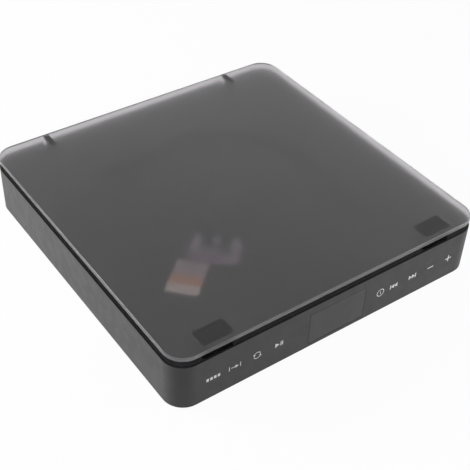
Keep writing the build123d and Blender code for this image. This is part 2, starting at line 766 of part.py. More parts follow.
def make_display_window():
    """Smoked window that fills its opening, with a lip behind the wall at the sides and top."""
    z0 = CASE_LOW + WINDOW_UP + WINDOW_FIT
    z1 = CASE_LOW + WINDOW_UP + WINDOW_H - WINDOW_FIT
    half = WINDOW_W / 2 - WINDOW_FIT
    outline = RectangleRounded(2 * half, z1 - z0, WINDOW_CORNER - WINDOW_FIT)
    front = Pos(0, FRONT, (z0 + z1) / 2) * Rot(-90, 0, 0) * extrude(outline, amount=WALL_T)
    lip = block(-WINDOW_W / 2 - WINDOW_LIP, WINDOW_W / 2 + WINDOW_LIP, FRONT_IN, FRONT_IN + WINDOW_LIP_T,
                z0, z1 + WINDOW_LIP)
    return front + lip


def make_display_module():
    """Segment display behind the window, standing on the key board."""
    z = CASE_LOW + WINDOW_UP + WINDOW_H / 2
    y0 = FRONT_IN + WINDOW_LIP_T + DISPLAY_GAP
    return block(-DISPLAY_W / 2, DISPLAY_W / 2, y0, KEY_BOARD_Y, z - DISPLAY_H / 2, z + DISPLAY_H / 2)


def make_key_board():
    """Circuit board behind the front wall."""
    return block(-KEY_BOARD_W / 2, KEY_BOARD_W / 2, KEY_BOARD_Y, KEY_BOARD_Y + KEY_BOARD_T,
                 KEY_BOARD_LOW, KEY_BOARD_HIGH)


def make_touch_pads():
    """Conductive pads between the key board and the wall, one behind each touch symbol."""
    return group(block(x - TOUCH_W / 2, x + TOUCH_W / 2, FRONT_IN, KEY_BOARD_Y,
                       KEY_Z - TOUCH_H / 2, KEY_Z + TOUCH_H / 2) for x in KEY_PLACES)


def make_lid_sensor():
    """Magnetic sensor on the back of the key board, beside the left catch."""
    y = KEY_BOARD_Y + KEY_BOARD_T
    x = -PAD_X + CATCH_W / 2 + SENSOR_W
    return block(x - SENSOR_W / 2, x + SENSOR_W / 2, y, y + SENSOR_T,
                 KEY_BOARD_HIGH - SENSOR_H, KEY_BOARD_HIGH)


# Cables


def strip_yz(x, width, points):
    """Flat cable folded at right angles, laid through points (y, z) that its middle follows."""
    t = RIBBON_T / 2
    strip = None
    for (ya, za), (yb, zb) in zip(points, points[1:]):
        leg = block(x - width / 2, x + width / 2, min(ya, yb) - t, max(ya, yb) + t,
                    min(za, zb) - t, max(za, zb) + t)
        strip = leg if strip is None else strip + leg
    return strip


def front_connector():
    """Ribbon connector on the back of the key board."""
    y = KEY_BOARD_Y + KEY_BOARD_T
    return block(RIBBON_X - CONNECTOR_W / 2, RIBBON_X + CONNECTOR_W / 2, y, y + CONNECTOR_L,
                 KEY_BOARD_LOW + CONNECTOR_UP, KEY_BOARD_LOW + CONNECTOR_UP + CONNECTOR_H)


def board_connector(x):
    """Ribbon connector on the front edge of the main board."""
    return block(x - CONNECTOR_W / 2, x + CONNECTOR_W / 2, BOARD_FRONT + CONNECTOR_IN,
                 BOARD_FRONT + CONNECTOR_IN + CONNECTOR_L, BOARD_TOP, BOARD_TOP + CONNECTOR_H)


def make_ribbon_connectors():
    """Connectors at both ends of the front ribbon and at the board end of the motor ribbon."""
    motor_x, _ = turned(-MOTOR_RIBBON_OUT, 0)
    return group([front_connector(), board_connector(RIBBON_X), board_connector(motor_x)])


def make_front_ribbon():
    """Flat cable from the key board along the bottom to the main board."""
    y0 = KEY_BOARD_Y + KEY_BOARD_T + CONNECTOR_L
    z0 = KEY_BOARD_LOW + CONNECTOR_UP + CONNECTOR_H / 2
    floor = COVER_TOP + RIBBON_T / 2
    y1 = BOARD_FRONT + CONNECTOR_IN
    z1 = BOARD_TOP + CONNECTOR_H / 2
    t = RIBBON_T / 2
    return strip_yz(RIBBON_X, RIBBON_W, [(y0 + t, z0), (y0 + RIBBON_RUN, z0), (y0 + RIBBON_RUN, floor),
                                         (BOARD_FRONT - RIBBON_RUN, floor), (BOARD_FRONT - RIBBON_RUN, z1),
                                         (y1 - t, z1)])


def make_motor_ribbon():
    """Flat cable from the spindle motor's base over the plate's edge, down and round to the board."""
    t = RIBBON_T / 2
    half = RIBBON_W / 2
    edge = CHASSIS_X0 - RIBBON_RUN
    top = CHASSIS_TOP + t
    low = BOARD_TOP + CONNECTOR_H / 2
    fall = block(edge - t, MOTOR_BASE_X0, -half, half, top - t, top + t)
    fall += block(edge - t, edge + t, -half, half, low - t, top + t)
    bend = turned(-MOTOR_RIBBON_OUT, 0)
    path = FilletPolyline(turned(edge, 0), bend, (bend[0], BOARD_FRONT + CONNECTOR_IN), radius=RIBBON_BEND)
    run = Pos(0, 0, low - t) * extrude(trace(path, RIBBON_W), amount=RIBBON_T)
    return turned_shape(fall) + run


# Main board and rear sockets


def make_main_board():
    """Circuit board behind the mechanism."""
    board = block(-BOARD_W / 2, BOARD_W / 2, BOARD_FRONT, BOARD_BACK, BOARD_LOW, BOARD_TOP)
    for x, y in BOARD_HOLES:
        board -= post(x, y, BOARD_LOW - OVER, BOARD_TOP + OVER, SCREW_SHANK_R + SHANK_HOLE_GAP)
    return board


def make_board_screws():
    """Four screws that hold the main board on its posts."""
    return group(screw(x, y, BOARD_TOP, BOARD_LOW - COVER_TOP, SCREW_SHANK_R, BOARD_HEAD_R, BOARD_HEAD_T, -1)
                 for x, y in BOARD_HOLES)


def make_processor():
    """Main chip with its finned heat sink."""
    half = CHIP_W / 2
    chip = block(CHIP_X - half, CHIP_X + half, CHIP_Y - half, CHIP_Y + half, BOARD_TOP, BOARD_TOP + CHIP_T)
    for i in range(FINS):
        x = CHIP_X - half + i * (CHIP_W - FIN_T) / (FINS - 1)
        chip += block(x, x + FIN_T, CHIP_Y - half, CHIP_Y + half,
                      BOARD_TOP + CHIP_T, BOARD_TOP + CHIP_T + FIN_H)
    return chip


def make_capacitors():
    """Round capacitors beside the power inlet."""
    return group(post(CAP_X + i * CAP_PITCH, CHIP_Y, BOARD_TOP, BOARD_TOP + CAPACITOR_H, CAPACITOR_R)
                 for i in range(CAPACITORS))


def make_usb_socket():
    """Metal shell with a flat tongue inside."""
    y1 = REAR - SOCKET_FLUSH
    y0 = y1 - USB_DEEP
    x0, x1 = USB_X - USB_W / 2, USB_X + USB_W / 2
    z0, z1 = BOARD_TOP, BOARD_TOP + USB_H
    socket = block(x0, x1, y0, y1, z0, z1)
    socket -= block(x0 + SHELL_T, x1 - SHELL_T, y0 + SOCKET_BACK, y1 + OVER, z0 + SHELL_T, z1 - SHELL_T)
    return socket + block(x0 + TONGUE_SIDE, x1 - TONGUE_SIDE, y0, y1 - TONGUE_IN,
                          z1 - TONGUE_DOWN - USB_TONGUE, z1 - TONGUE_DOWN)


def video_outline(inset):
    """Outline of the video socket: a rectangle with its lower corners cut off."""
    w, h, s = VIDEO_W / 2 - inset, VIDEO_H - 2 * inset, VIDEO_SLOPE
    return make_face(Polyline((-w, h), (w, h), (w, s), (w - s, 0), (-w + s, 0), (-w, s), close=True))


def make_video_socket():
    """Metal shell with cut-off lower corners and a thin tongue."""
    y1 = REAR - SOCKET_FLUSH
    y0 = y1 - VIDEO_DEEP
    shell = Pos(VIDEO_X, y1, BOARD_TOP) * Rot(90, 0, 0) * extrude(video_outline(0), amount=VIDEO_DEEP)
    hole = Pos(VIDEO_X, y1 + OVER, BOARD_TOP + SHELL_T) * Rot(90, 0, 0) * extrude(
        video_outline(SHELL_T), amount=VIDEO_DEEP - SOCKET_BACK + OVER)
    mid = BOARD_TOP + VIDEO_H / 2
    half = VIDEO_W / 2 - TONGUE_SIDE
    tongue = block(VIDEO_X - half, VIDEO_X + half, y0, y1 - TONGUE_IN, mid - VIDEO_TONGUE / 2,
                   mid + VIDEO_TONGUE / 2)
    return shell - hole + tongue


def make_av_jack():
    """Small round jack: a block with a nose through the wall and a bore for the plug."""
    y1 = REAR - SOCKET_FLUSH
    z = BOARD_TOP + JACK_BODY / 2
    back = REAR_IN - SOCKET_FLUSH
    jack = block(JACK_X - JACK_BODY / 2, JACK_X + JACK_BODY / 2, y1 - JACK_DEEP - SOCKET_BACK, back,
                 BOARD_TOP, BOARD_TOP + JACK_BODY)
    jack += bar_y(JACK_X, back - OVER, y1, z, JACK_NOSE_R)
    return jack - bar_y(JACK_X, y1 - JACK_DEEP, y1 + OVER, z, JACK_R)


def make_power_inlet():
    """Round power inlet with a centre pin."""
    y1 = REAR - SOCKET_FLUSH
    z = BOARD_TOP + INLET_UP
    back = REAR_IN - SOCKET_FLUSH
    inlet = block(INLET_X - INLET_BODY_W / 2, INLET_X + INLET_BODY_W / 2, y1 - INLET_DEEP, back,
                  BOARD_TOP, BOARD_TOP + INLET_BODY_H)
    inlet += bar_y(INLET_X, back - OVER, y1, z, INLET_NOSE_R)
    inlet -= bar_y(INLET_X, y1 - INLET_HOLE_DEEP, y1 + OVER, z, INLET_R)
    return inlet + bar_y(INLET_X, y1 - INLET_HOLE_DEEP - OVER, y1 - INLET_PIN_IN, z, INLET_PIN_R)


# Mechanism plate


def make_chassis():
    """Mechanism plate with a skirt, the sled's opening, rod blocks and holes for all it carries."""
    x_mid, y_mid = (CHASSIS_X0 + CHASSIS_X1) / 2, (CHASSIS_Y0 + CHASSIS_Y1) / 2
    w, d = CHASSIS_X1 - CHASSIS_X0, CHASSIS_Y1 - CHASSIS_Y0
    chassis = Pos(x_mid, y_mid, 0) * panel(w, d, CHASSIS_CORNER, CHASSIS_LOW - SKIRT_H, CHASSIS_TOP)
    chassis -= Pos(x_mid, y_mid, 0) * panel(w - 2 * SKIRT_T, d - 2 * SKIRT_T, CHASSIS_CORNER - SKIRT_T,
                                            CHASSIS_LOW - SKIRT_H - OVER, CHASSIS_LOW)
    opening = LUG_OUT + OPENING_GAP
    chassis -= block(SLED_HOME - OPENING_GAP, SLED_END, -opening, opening,
                     CHASSIS_LOW - OVER, CHASSIS_TOP + OVER)
    for y in (-ROD_Y, ROD_Y):
        for x0 in (ROD_INNER, SLED_END):
            x1 = x0 + ROD_BLOCK_L
            chassis += block(x0, x1, y - ROD_BLOCK_W / 2, y + ROD_BLOCK_W / 2, CHASSIS_LOW,
                             ROD_LEVEL + ROD_R + ROD_BLOCK_WALL)
        chassis -= bar_x(ROD_INNER + ROD_STOP, CHASSIS_X1 - ROD_STOP, y, ROD_LEVEL, ROD_R + SEAT_FIT)
    for x, y in DAMPER_PLACES:
        chassis -= post(x, y, CHASSIS_LOW - OVER, CHASSIS_TOP + OVER, DAMPER_NECK + SEAT_FIT)
    chassis -= post(0, 0, CHASSIS_LOW - OVER, CHASSIS_TOP + OVER, BEARING_R + SOFT_GAP)
    chassis += post(GEAR_X, GEAR_Y, CHASSIS_LOW, STEP_LOW - AXLE_FIT, AXLE_R + AXLE_BOSS)
    chassis -= post(GEAR_X, GEAR_Y, CHASSIS_LOW - OVER, STEP_LOW + OVER, AXLE_R + SEAT_FIT)
    chassis -= post(FEED_X, FEED_Y, CHASSIS_LOW - OVER, CHASSIS_TOP + OVER, FEED_HOLE_R)
    for x, y, _ in BASE_SCREWS + FEED_SCREWS:
        chassis -= post(x, y, CHASSIS_LOW - OVER, CHASSIS_TOP + OVER, SMALL_SCREW_R + SCREW_FIT)
    return chassis


def make_dampers():
    """Rubber grommets in the plate's four mounting holes."""
    dampers = []
    for x, y in DAMPER_PLACES:
        damper = post(x, y, DAMPER_LOW, CHASSIS_LOW, DAMPER_R)
        damper += post(x, y, CHASSIS_LOW, CHASSIS_TOP, DAMPER_NECK)
        damper += post(x, y, CHASSIS_TOP, DAMPER_TOP, DAMPER_R)
        dampers.append(damper - post(x, y, DAMPER_LOW - OVER, DAMPER_TOP + OVER, DAMPER_BORE))
    return group(dampers)


def make_damper_screws():
    """Shoulder screws through the grommets into the bottom's posts."""
    screws = []
    for x, y in DAMPER_PLACES:
        shoulder = screw(x, y, DAMPER_TOP, DAMPER_TOP - DAMPER_LOW, SHOULDER_R, SHOULDER_HEAD_R,
                         SHOULDER_HEAD_T, -1)
        screws.append(shoulder + post(x, y, DAMPER_LOW - SHOULDER_THREAD, DAMPER_LOW, SCREW_SHANK_R))
    return group(screws)


def make_mechanism_screws():
    """Small screws that hold the spindle motor's base and the feed motor to the plate."""
    return group(screw(x, y, seat, seat - CHASSIS_LOW, SMALL_SCREW_R, SMALL_HEAD_R, SMALL_HEAD_T, -1)
                 for x, y, seat in BASE_SCREWS + FEED_SCREWS)


# Spindle


def make_spindle_base():
    """Motor base with its bearing sleeve."""
    base = block(MOTOR_BASE_X0, MOTOR_BASE_X1, -MOTOR_BASE_W / 2, MOTOR_BASE_W / 2, CHASSIS_TOP, BASE_TOP)
    base += post(0, 0, BEARING_LOW, BEARING_TOP, BEARING_R)
    base -= post(0, 0, BEARING_LOW + BEARING_FLOOR, BEARING_TOP + OVER, SHAFT_R + PIN_FIT)
    for x, y, top in BASE_SCREWS:
        base -= post(x, y, CHASSIS_TOP - OVER, top + OVER, SMALL_SCREW_R + SCREW_FIT)
    return base


def make_spindle_coils():
    """Coil poles round the bearing sleeve."""
    ring = post(0, 0, COIL_LOW, COIL_TOP, COIL_R)
    ring -= post(0, 0, COIL_LOW - OVER, COIL_TOP + OVER, BEARING_R + SEAT_FIT)
    slot = block(COIL_CORE_R, COIL_R + OVER, -COIL_SLOT / 2, COIL_SLOT / 2, COIL_LOW - OVER, COIL_TOP + OVER)
    for i in range(COIL_POLES):
        ring -= Rot(0, 0, i * 360 / COIL_POLES) * slot
    return ring


def make_spindle_rotor():
    """Rotor cup over the coils, on its shaft."""
    rotor = post(0, 0, ROTOR_LOW, ROTOR_TOP, ROTOR_R)
    rotor -= post(0, 0, ROTOR_LOW - OVER, ROTOR_ROOF, ROTOR_R - ROTOR_T)
    return rotor + post(0, 0, BEARING_LOW + BEARING_FLOOR + AXLE_FIT, DISC_LOW, SHAFT_R)


def jaw_turns():
    """Rotation of each snap jaw about the hub."""
    return [Rot(0, 0, i * 360 / JAWS) for i in range(JAWS)]


def make_turntable():
    """Platter with its neck and the hub that centres the disc, slotted for the snap jaws."""
    table = post(0, 0, ROTOR_TOP, PLATTER_TOP, PLATTER_NECK_R)
    table += post(0, 0, PLATTER_LOW, PLATTER_TOP, PLATTER_R)
    hub = post(0, 0, PLATTER_TOP, HUB_TOP, DISC_HUB_R)
    table += chamfer(hub.edges().sort_by(Axis.Z)[-1], HUB_TAPER)
    slot_low = JAW_LOW - JAW_FIT
    half = JAW_W / 2 + JAW_FIT
    slot = block(JAW_SLOT_IN - PIN_FIT, DISC_HUB_R + OVER, -half, half, slot_low, HUB_TOP + OVER)
    for turn in jaw_turns():
        table -= turn * slot
    groove = post(0, 0, slot_low, HUB_TOP + OVER, JAW_SLOT_IN)
    table -= groove - post(0, 0, slot_low, HUB_TOP, JAW_SPRING_R - JAW_SPRING_T - JAW_SPRING_GAP)
    return table - post(0, 0, ROTOR_TOP - OVER, DISC_LOW + PIN_FIT, SHAFT_R + SEAT_FIT)


def make_turntable_mat():
    """Rubber ring that grips the disc."""
    return post(0, 0, PLATTER_TOP, DISC_LOW, MAT_R) - post(0, 0, PLATTER_TOP - OVER, DISC_LOW + OVER, MAT_IN)


def make_hub_cap():
    """Cap that keeps the jaws in the hub."""
    cap = post(0, 0, HUB_TOP, HUB_TOP + CAP_T, CAP_R)
    return chamfer(cap.edges().sort_by(Axis.Z)[-1], CAP_T / 2)


def make_jaw(turn):
    """Snap jaw that stands out of the hub above the disc."""
    top = JAW_LOW + JAW_T
    nose = (DISC_HUB_R + JAW_PROUD, JAW_LOW + JAW_T * JAW_NOSE_SHARE)
    side = make_face(Polyline((JAW_IN, JAW_LOW), (DISC_HUB_R, JAW_LOW), nose,
                              (DISC_HUB_R - HUB_TAPER / 2, top), (JAW_IN, top), close=True))
    jaw = Pos(0, JAW_W / 2, 0) * Rot(90, 0, 0) * extrude(side, amount=JAW_W)
    return turn * jaw


def make_jaw_spring():
    """Open ring of flat spring steel behind the jaws."""
    low, high = JAW_LOW, JAW_LOW + JAW_SPRING_W
    ring = post(0, 0, low, high, JAW_SPRING_R)
    ring -= post(0, 0, low - OVER, high + OVER, JAW_SPRING_R - JAW_SPRING_T)
    return ring - block(-JAW_SPRING_R - OVER, 0, -JAW_SPRING_SPLIT / 2, JAW_SPRING_SPLIT / 2,
                        low - OVER, high + OVER)


# Pickup


def make_guide_rod(y):
    """Steel rod held at both ends in the plate's blocks."""
    return bar_x(ROD_INNER + ROD_STOP, CHASSIS_X1 - ROD_STOP, y, ROD_LEVEL, ROD_R)


def make_sled():
    """Pickup sled: a body, two bored lugs on one rod and a fork on the other."""
    x0, x1 = SLED_X, SLED_X + SLED_L
    half = SLED_W / 2
    sled = block(x0, x1, -half, half, SLED_LOW, SLED_TOP)
    sled = fillet(sled.edges().filter_by(Axis.Z).group_by(Axis.Y)[-1], SLED_CORNER)
    sled -= block(x0 + SLED_WALL, x1 - SLED_WALL, -half + SLED_WALL, half - SLED_WALL, SLED_LOW - OVER,
                  SLED_TOP - SLED_WALL)
    for lug in (x0, x1 - LUG_L):
        sled += block(lug, lug + LUG_L, -LUG_OUT, -half, LUG_LOW, SLED_TOP)
    sled -= bar_x(x0 - OVER, x1 + OVER, -ROD_Y, ROD_LEVEL, ROD_R + SLIDE_FIT)
    mid = (x0 + x1) / 2
    fork_out = ROD_Y + ROD_R + SLED_WALL
    fork = block(mid - FORK_L / 2, mid + FORK_L / 2, half, fork_out, LUG_LOW, SLED_TOP)
    slot = ROD_R + SLIDE_FIT
    fork -= block(mid - FORK_L, mid + FORK_L, ROD_Y, fork_out + OVER, ROD_LEVEL - slot, ROD_LEVEL + slot)
    fork -= bar_x(mid - FORK_L, mid + FORK_L, ROD_Y, ROD_LEVEL, slot)
    sled += fork
    return sled - post(LENS_X, 0, SLED_LOW - OVER, SLED_TOP + OVER, BEAM_R)


def make_lens_yoke():
    """Steel frame round the lens holder with two magnet posts and the block that holds its wires."""
    x0, x1 = LENS_X - HOLDER_L / 2, LENS_X + HOLDER_L / 2
    y_in = HOLDER_W / 2 + YOKE_GAP
    y_out = y_in + YOKE_RIM
    low, top = SLED_TOP, SLED_TOP + YOKE_T
    yoke = None
    for s in (-1, 1):
        edge = sorted((s * y_in, s * y_out))
        strip = block(x0, x1 + YOKE_GAP + YOKE_RIM, edge[0], edge[1], low, top)
        magnet = sorted((s * y_in, s * (y_in + YOKE_POST_T)))
        strip += block(x0 + YOKE_RIM / 2, x1 - YOKE_RIM / 2, magnet[0], magnet[1], low, low + YOKE_POST_H)
        yoke = strip if yoke is None else yoke + strip
    yoke += block(x1 + YOKE_GAP, x1 + YOKE_GAP + YOKE_RIM, -y_out, y_out, low, top)
    return yoke + block(x1 + YOKE_GAP, x1 + YOKE_GAP + YOKE_RIM, -YOKE_BLOCK_W / 2, YOKE_BLOCK_W / 2, low,
                        low + YOKE_POST_H)


def make_lens_holder():
    """Holder that floats over the sled, with a round turret for the lens."""
    holder = Pos(LENS_X, 0, 0) * panel(HOLDER_L, HOLDER_W, HOLDER_CORNER, HOLDER_LOW, HOLDER_TOP)
    holder += post(LENS_X, 0, HOLDER_TOP, TURRET_TOP, TURRET_R)
    holder -= post(LENS_X, 0, HOLDER_LOW - OVER, TURRET_TOP + OVER, LENS_R - LENS_SEAT)
    return holder - post(LENS_X, 0, HOLDER_TOP + LENS_SEAT, TURRET_TOP + OVER, LENS_R + SEAT_FIT)


def make_objective_lens():
    """Round lens with a domed top, seated on the turret's step."""
    dome_r = (LENS_R ** 2 + LENS_DOME ** 2) / (2 * LENS_DOME)
    dome = Pos(LENS_X, 0, LENS_TOP - dome_r) * Sphere(dome_r)
    return post(LENS_X, 0, HOLDER_TOP + LENS_SEAT, LENS_TOP, LENS_R) & dome


# Gears


def involute(angle):
    """Involute function of a pressure angle."""
    return tan(angle) - angle


def gear(teeth, low, high, bore, phase):
    """Spur gear about Z with one tooth centred on the angle phase, in degrees."""
    r = teeth * GEAR_MODULE / 2
    base = r * cos(PRESSURE)
    tip = r + ADDENDUM * GEAR_MODULE
    root = r - DEDENDUM * GEAR_MODULE
    half_tooth = pi / (2 * teeth) - BACKLASH / (2 * r)

    def spread(radius):
        """Half angle of a tooth at a radius."""
        pressure = acos(min(1.0, base / radius))
        return half_tooth + involute(PRESSURE) - involute(pressure)

    def at(radius, angle):
        return (radius * cos(angle), radius * sin(angle))

    start = max(base, root)
    middle = (start + tip) / 2
    edges = []
    for i in range(teeth):
        c = radians(phase) + 2 * pi * i / teeth
        n = c + 2 * pi / teeth
        a, m, t = spread(start), spread(middle), spread(tip)
        if root < start:
            edges.append(Line(at(root, c - a), at(start, c - a)))
        edges.append(ThreePointArc(at(start, c - a), at(middle, c - m), at(tip, c - t)))
        edges.append(Line(at(tip, c - t), at(tip, c + t)))
        edges.append(ThreePointArc(at(tip, c + t), at(middle, c + m), at(start, c + a)))
        if root < start:
            edges.append(Line(at(start, c + a), at(root, c + a)))
        edges.append(Line(at(root, c + a), at(root, n - a)))
    face = make_face(edges)
    return Pos(0, 0, low) * extrude(face, amount=high - low) - post(0, 0, low - OVER, high + OVER, bore)


def make_feed_gear():
    """Stepped gear: the small one meshes with the rack, the large one with the motor's pinion."""
    small = gear(STEP_TEETH, STEP_LOW, WHEEL_LOW, AXLE_R + AXLE_FIT, 90.0)
    wheel = gear(WHEEL_TEETH, WHEEL_LOW, WHEEL_TOP, AXLE_R + AXLE_FIT, MESH_ANGLE)
    return Pos(GEAR_X, GEAR_Y, 0) * (small + wheel)


def make_gear_axle():
    """Steel pin that the stepped gear turns on."""
    return post(GEAR_X, GEAR_Y, CHASSIS_LOW, WHEEL_TOP + CLIP_GAP + CLIP_T, AXLE_R)


def make_gear_clip():
    """Clip on the pin above the stepped gear."""
    low = WHEEL_TOP + CLIP_GAP
    clip = post(GEAR_X, GEAR_Y, low, low + CLIP_T, CLIP_R)
    return clip - post(GEAR_X, GEAR_Y, low - OVER, low + CLIP_T + OVER, AXLE_R + SEAT_FIT)


def make_motor_pinion():
    """Pinion on the feed motor's shaft, with a tooth gap facing the stepped gear."""
    phase = MESH_ANGLE + 180.0 + 180.0 / PINION_TEETH
    pinion = gear(PINION_TEETH, WHEEL_LOW, WHEEL_TOP, FEED_SHAFT_R, phase)
    shaft = post(0, 0, FEED_LOW + FEED_SHAFT_FLOOR + AXLE_FIT, WHEEL_TOP, FEED_SHAFT_R)
    return Pos(FEED_X, FEED_Y, 0) * (pinion + shaft)


def make_feed_motor():
    """Round feed motor under the plate, bored for its shaft."""
    can = post(FEED_X, FEED_Y, FEED_LOW, CHASSIS_LOW, FEED_CAN_R)
    can = chamfer(can.edges().sort_by(Axis.Z)[0], FEED_CAN_EDGE)
    return can - post(FEED_X, FEED_Y, FEED_LOW + FEED_SHAFT_FLOOR, CHASSIS_LOW + OVER,
                      FEED_SHAFT_R + AXLE_FIT)


def make_sled_rack():
    """Rack along the sled's lugs, with its teeth outward."""
    back = -(LUG_OUT + RACK_BACK)
    tip_y = RACK_PITCH_Y - ADDENDUM * GEAR_MODULE
    half_pitch_line = PITCH / 4 - BACKLASH / 2
    half_tip = half_pitch_line - ADDENDUM * GEAR_MODULE * tan(PRESSURE)
    half_root = half_pitch_line + DEDENDUM * GEAR_MODULE * tan(PRESSURE)
    points = [(RACK_X0, -LUG_OUT), (RACK_X0, back)]
    first = GEAR_X - (int((GEAR_X - RACK_X0) / PITCH) - 0.5) * PITCH
    count = int((RACK_X1 - first) / PITCH) + 1
    for i in range(count):
        x = first + i * PITCH
        points += [(x - half_root, back), (x - half_tip, tip_y), (x + half_tip, tip_y), (x + half_root, back)]
    points += [(x + PITCH, back), (x + PITCH, -LUG_OUT)]
    return Pos(0, 0, RACK_LOW) * extrude(make_face(Polyline(*points, close=True)), amount=RACK_H)


def mechanism_parts():
    """Name and shape of each node drawn in the mechanism's own axes."""
    return {
        "traverse_chassis": make_chassis(),
        "damper_grommets": make_dampers(),
        "damper_screws": make_damper_screws(),
        "mechanism_screws": make_mechanism_screws(),
        "spindle_base": make_spindle_base(),
        "guide_rod_main": make_guide_rod(-ROD_Y),
        "guide_rod_side": make_guide_rod(ROD_Y),
        "pickup_sled": make_sled(),
        "sled_rack": make_sled_rack(),
        "lens_yoke": make_lens_yoke(),
        "lens_holder": make_lens_holder(),
        "objective_lens": make_objective_lens(),
        "feed_gear": make_feed_gear(),
        "gear_axle": make_gear_axle(),
        "gear_clip": make_gear_clip(),
        "motor_pinion": make_motor_pinion(),
        "feed_motor": make_feed_motor(),
    }


def all_parts():
    """Every node's name and its shape."""
    parts = {
        "upper_case": make_upper_case(),
        "top_deck": make_top_deck(),
        "bottom_cover": make_bottom_cover(),
        "feet": make_feet(),
        "case_screws": make_case_screws(),
        "lid_panel": make_lid_panel(),
        "lid_magnets": make_lid_magnets(),
        "catch_plates": make_catch_plates(),
        "hinge_screws": make_hinge_screws(),
        "display_window": make_display_window(),
        "display_module": make_display_module(),
        "key_board": make_key_board(),
        "touch_pads": make_touch_pads(),
        "lid_sensor": make_lid_sensor(),
        "ribbon_connectors": make_ribbon_connectors(),
        "front_ribbon": make_front_ribbon(),
        "motor_ribbon": make_motor_ribbon(),
        "main_board": make_main_board(),
        "board_screws": make_board_screws(),
        "processor": make_processor(),
        "capacitors": make_capacitors(),
        "usb_socket": make_usb_socket(),
        "video_socket": make_video_socket(),
        "av_jack": make_av_jack(),
        "power_inlet": make_power_inlet(),
        "spindle_coils": make_spindle_coils(),
        "spindle_rotor": make_spindle_rotor(),
        "turntable": make_turntable(),
        "turntable_mat": make_turntable_mat(),
        "hub_cap": make_hub_cap(),
        "jaw_spring": make_jaw_spring(),
    }
    for name, shape in mechanism_parts().items():
        parts[name] = turned_shape(shape)
    for side, x in (("left", -1), ("right", 1)):
        parts["hinge_arm_" + side] = make_hinge_arm(x * HINGE_X)
        parts["hinge_bracket_" + side] = make_hinge_bracket(x * HINGE_X)
        parts["hinge_pin_" + side] = make_hinge_pin(x * HINGE_X)
        parts["lid_pad_" + side] = make_lid_pad(x * PAD_X)
    for letter, turn in zip("abc", jaw_turns()):
        parts["clamp_jaw_" + letter] = make_jaw(turn)
    return parts


os.makedirs("parts", exist_ok=True)
for name, shape in all_parts().items():
    export_step(shape, "parts/" + name + ".step")
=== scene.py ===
"""Looks for the square disc player: materials, frosted lid, signs, sticker, film, light and camera.

Metres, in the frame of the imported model: +X right seen from the front, +Y rear, +Z up, feet on z = 0.
"""
import json
from math import cos, pi, radians, sin

import bmesh
import bpy
from mathutils import Matrix, Quaternion, Vector


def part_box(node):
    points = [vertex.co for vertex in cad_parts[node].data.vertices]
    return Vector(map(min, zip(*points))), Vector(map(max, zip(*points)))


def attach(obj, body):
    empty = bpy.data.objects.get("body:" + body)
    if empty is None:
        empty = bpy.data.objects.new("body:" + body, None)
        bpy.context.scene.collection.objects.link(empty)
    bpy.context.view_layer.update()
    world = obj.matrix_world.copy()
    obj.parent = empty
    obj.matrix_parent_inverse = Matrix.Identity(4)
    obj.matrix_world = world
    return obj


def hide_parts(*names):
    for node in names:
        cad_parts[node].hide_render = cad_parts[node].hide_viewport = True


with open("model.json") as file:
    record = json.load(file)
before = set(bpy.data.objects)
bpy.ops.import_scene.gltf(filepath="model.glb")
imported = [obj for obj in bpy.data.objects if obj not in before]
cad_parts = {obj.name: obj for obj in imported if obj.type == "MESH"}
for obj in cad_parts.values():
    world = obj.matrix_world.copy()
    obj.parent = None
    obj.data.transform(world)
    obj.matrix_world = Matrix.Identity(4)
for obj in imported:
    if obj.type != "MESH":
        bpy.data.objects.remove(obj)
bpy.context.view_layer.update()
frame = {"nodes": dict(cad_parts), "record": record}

MM = 0.001

# Camera, fitted to the outline, the straight edges and the signs in the photograph
CAMERA_PLACE = Vector((-0.2598, -0.3562, 0.3758))
CAMERA_FORWARD = Vector((0.45394, 0.60890, -0.65052))
CAMERA_ROLL = radians(2.42)
CAMERA_LENS = 74.66
SENSOR = 36.0

# Light and floor
WHITE = (1.0, 1.0, 1.0, 1.0)
WORLD_STRENGTH = 0.32
LAMPS = (
    ("rear_left_lamp", Vector((-0.50, 0.35, 0.30)), 0.30, 5.6),
    ("front_right_lamp", Vector((0.35, -0.35, 0.20)), 0.20, 1.15),
)
FLOOR_SIZE = 6.0
FLOOR_WHITE = (0.7, 0.7, 0.7, 1.0)
FLOOR_ROUGH = 0.9
FLOOR_GLOW = 0.96

# Lid
LID_CORNER = 11.7 * MM
LID_EDGE = 0.5 * MM
LID_LOWER_EDGE = 0.3 * MM
LID_EDGE_STEPS = 4
CORNER_STEPS = 14

# Case rim and window
# On the case rim this black is the deck's own black carried out to the edge, and partly painted shade
# of the gap under the lid.
RIM_BLACK = (0.008, 0.008, 0.008)
RIM_PAINT = 0.05 * MM
WINDOW_LINE = 0.4 * MM

# Circuit board, as shares of the size of the pattern
TRACE_W = 0.06
SOLDER_PAD_R = 0.12

# Printed signs
INK = 0.02 * MM
STROKE = 0.45 * MM
BAR_HALF = 1.5 * MM
ARROW_HALF = 1.55 * MM
BLOCK_STEP = 2.2 * MM
BLOCK_W = 1.5 * MM
BLOCK_HALF = 1.0 * MM
SECTION_HALF = 3.6 * MM
SECTION_REACH = 2.3 * MM
SECTION_HEAD = 1.1 * MM
ARROW_JOIN = 0.3 * MM
LOOP_R = 2.1 * MM
LOOP_ENDS = ((20, 150), (200, 330))
HEAD_HALF = 1.9 * STROKE
HEAD_SWEEP = 38
PLAY_L = 2.7 * MM
PAUSE_W = 0.6 * MM
PAUSE_STARTS = (0.9 * MM, 1.9 * MM)
RING_R = 2.6 * MM
RING_BAR = 1.1 * MM
SKIP_L = 2.3 * MM
SKIP_BAR_W = 0.7 * MM
PLUS_ARM = 2.2 * MM
PLUS_W = 0.7 * MM

# Screw heads, with the cap's radius as a share of the head's
CROSS_CAP = 0.96
CROSS_ARM = 1.5 * MM
CROSS_W = 0.55 * MM
CROSS_DEPTH = 0.4 * MM

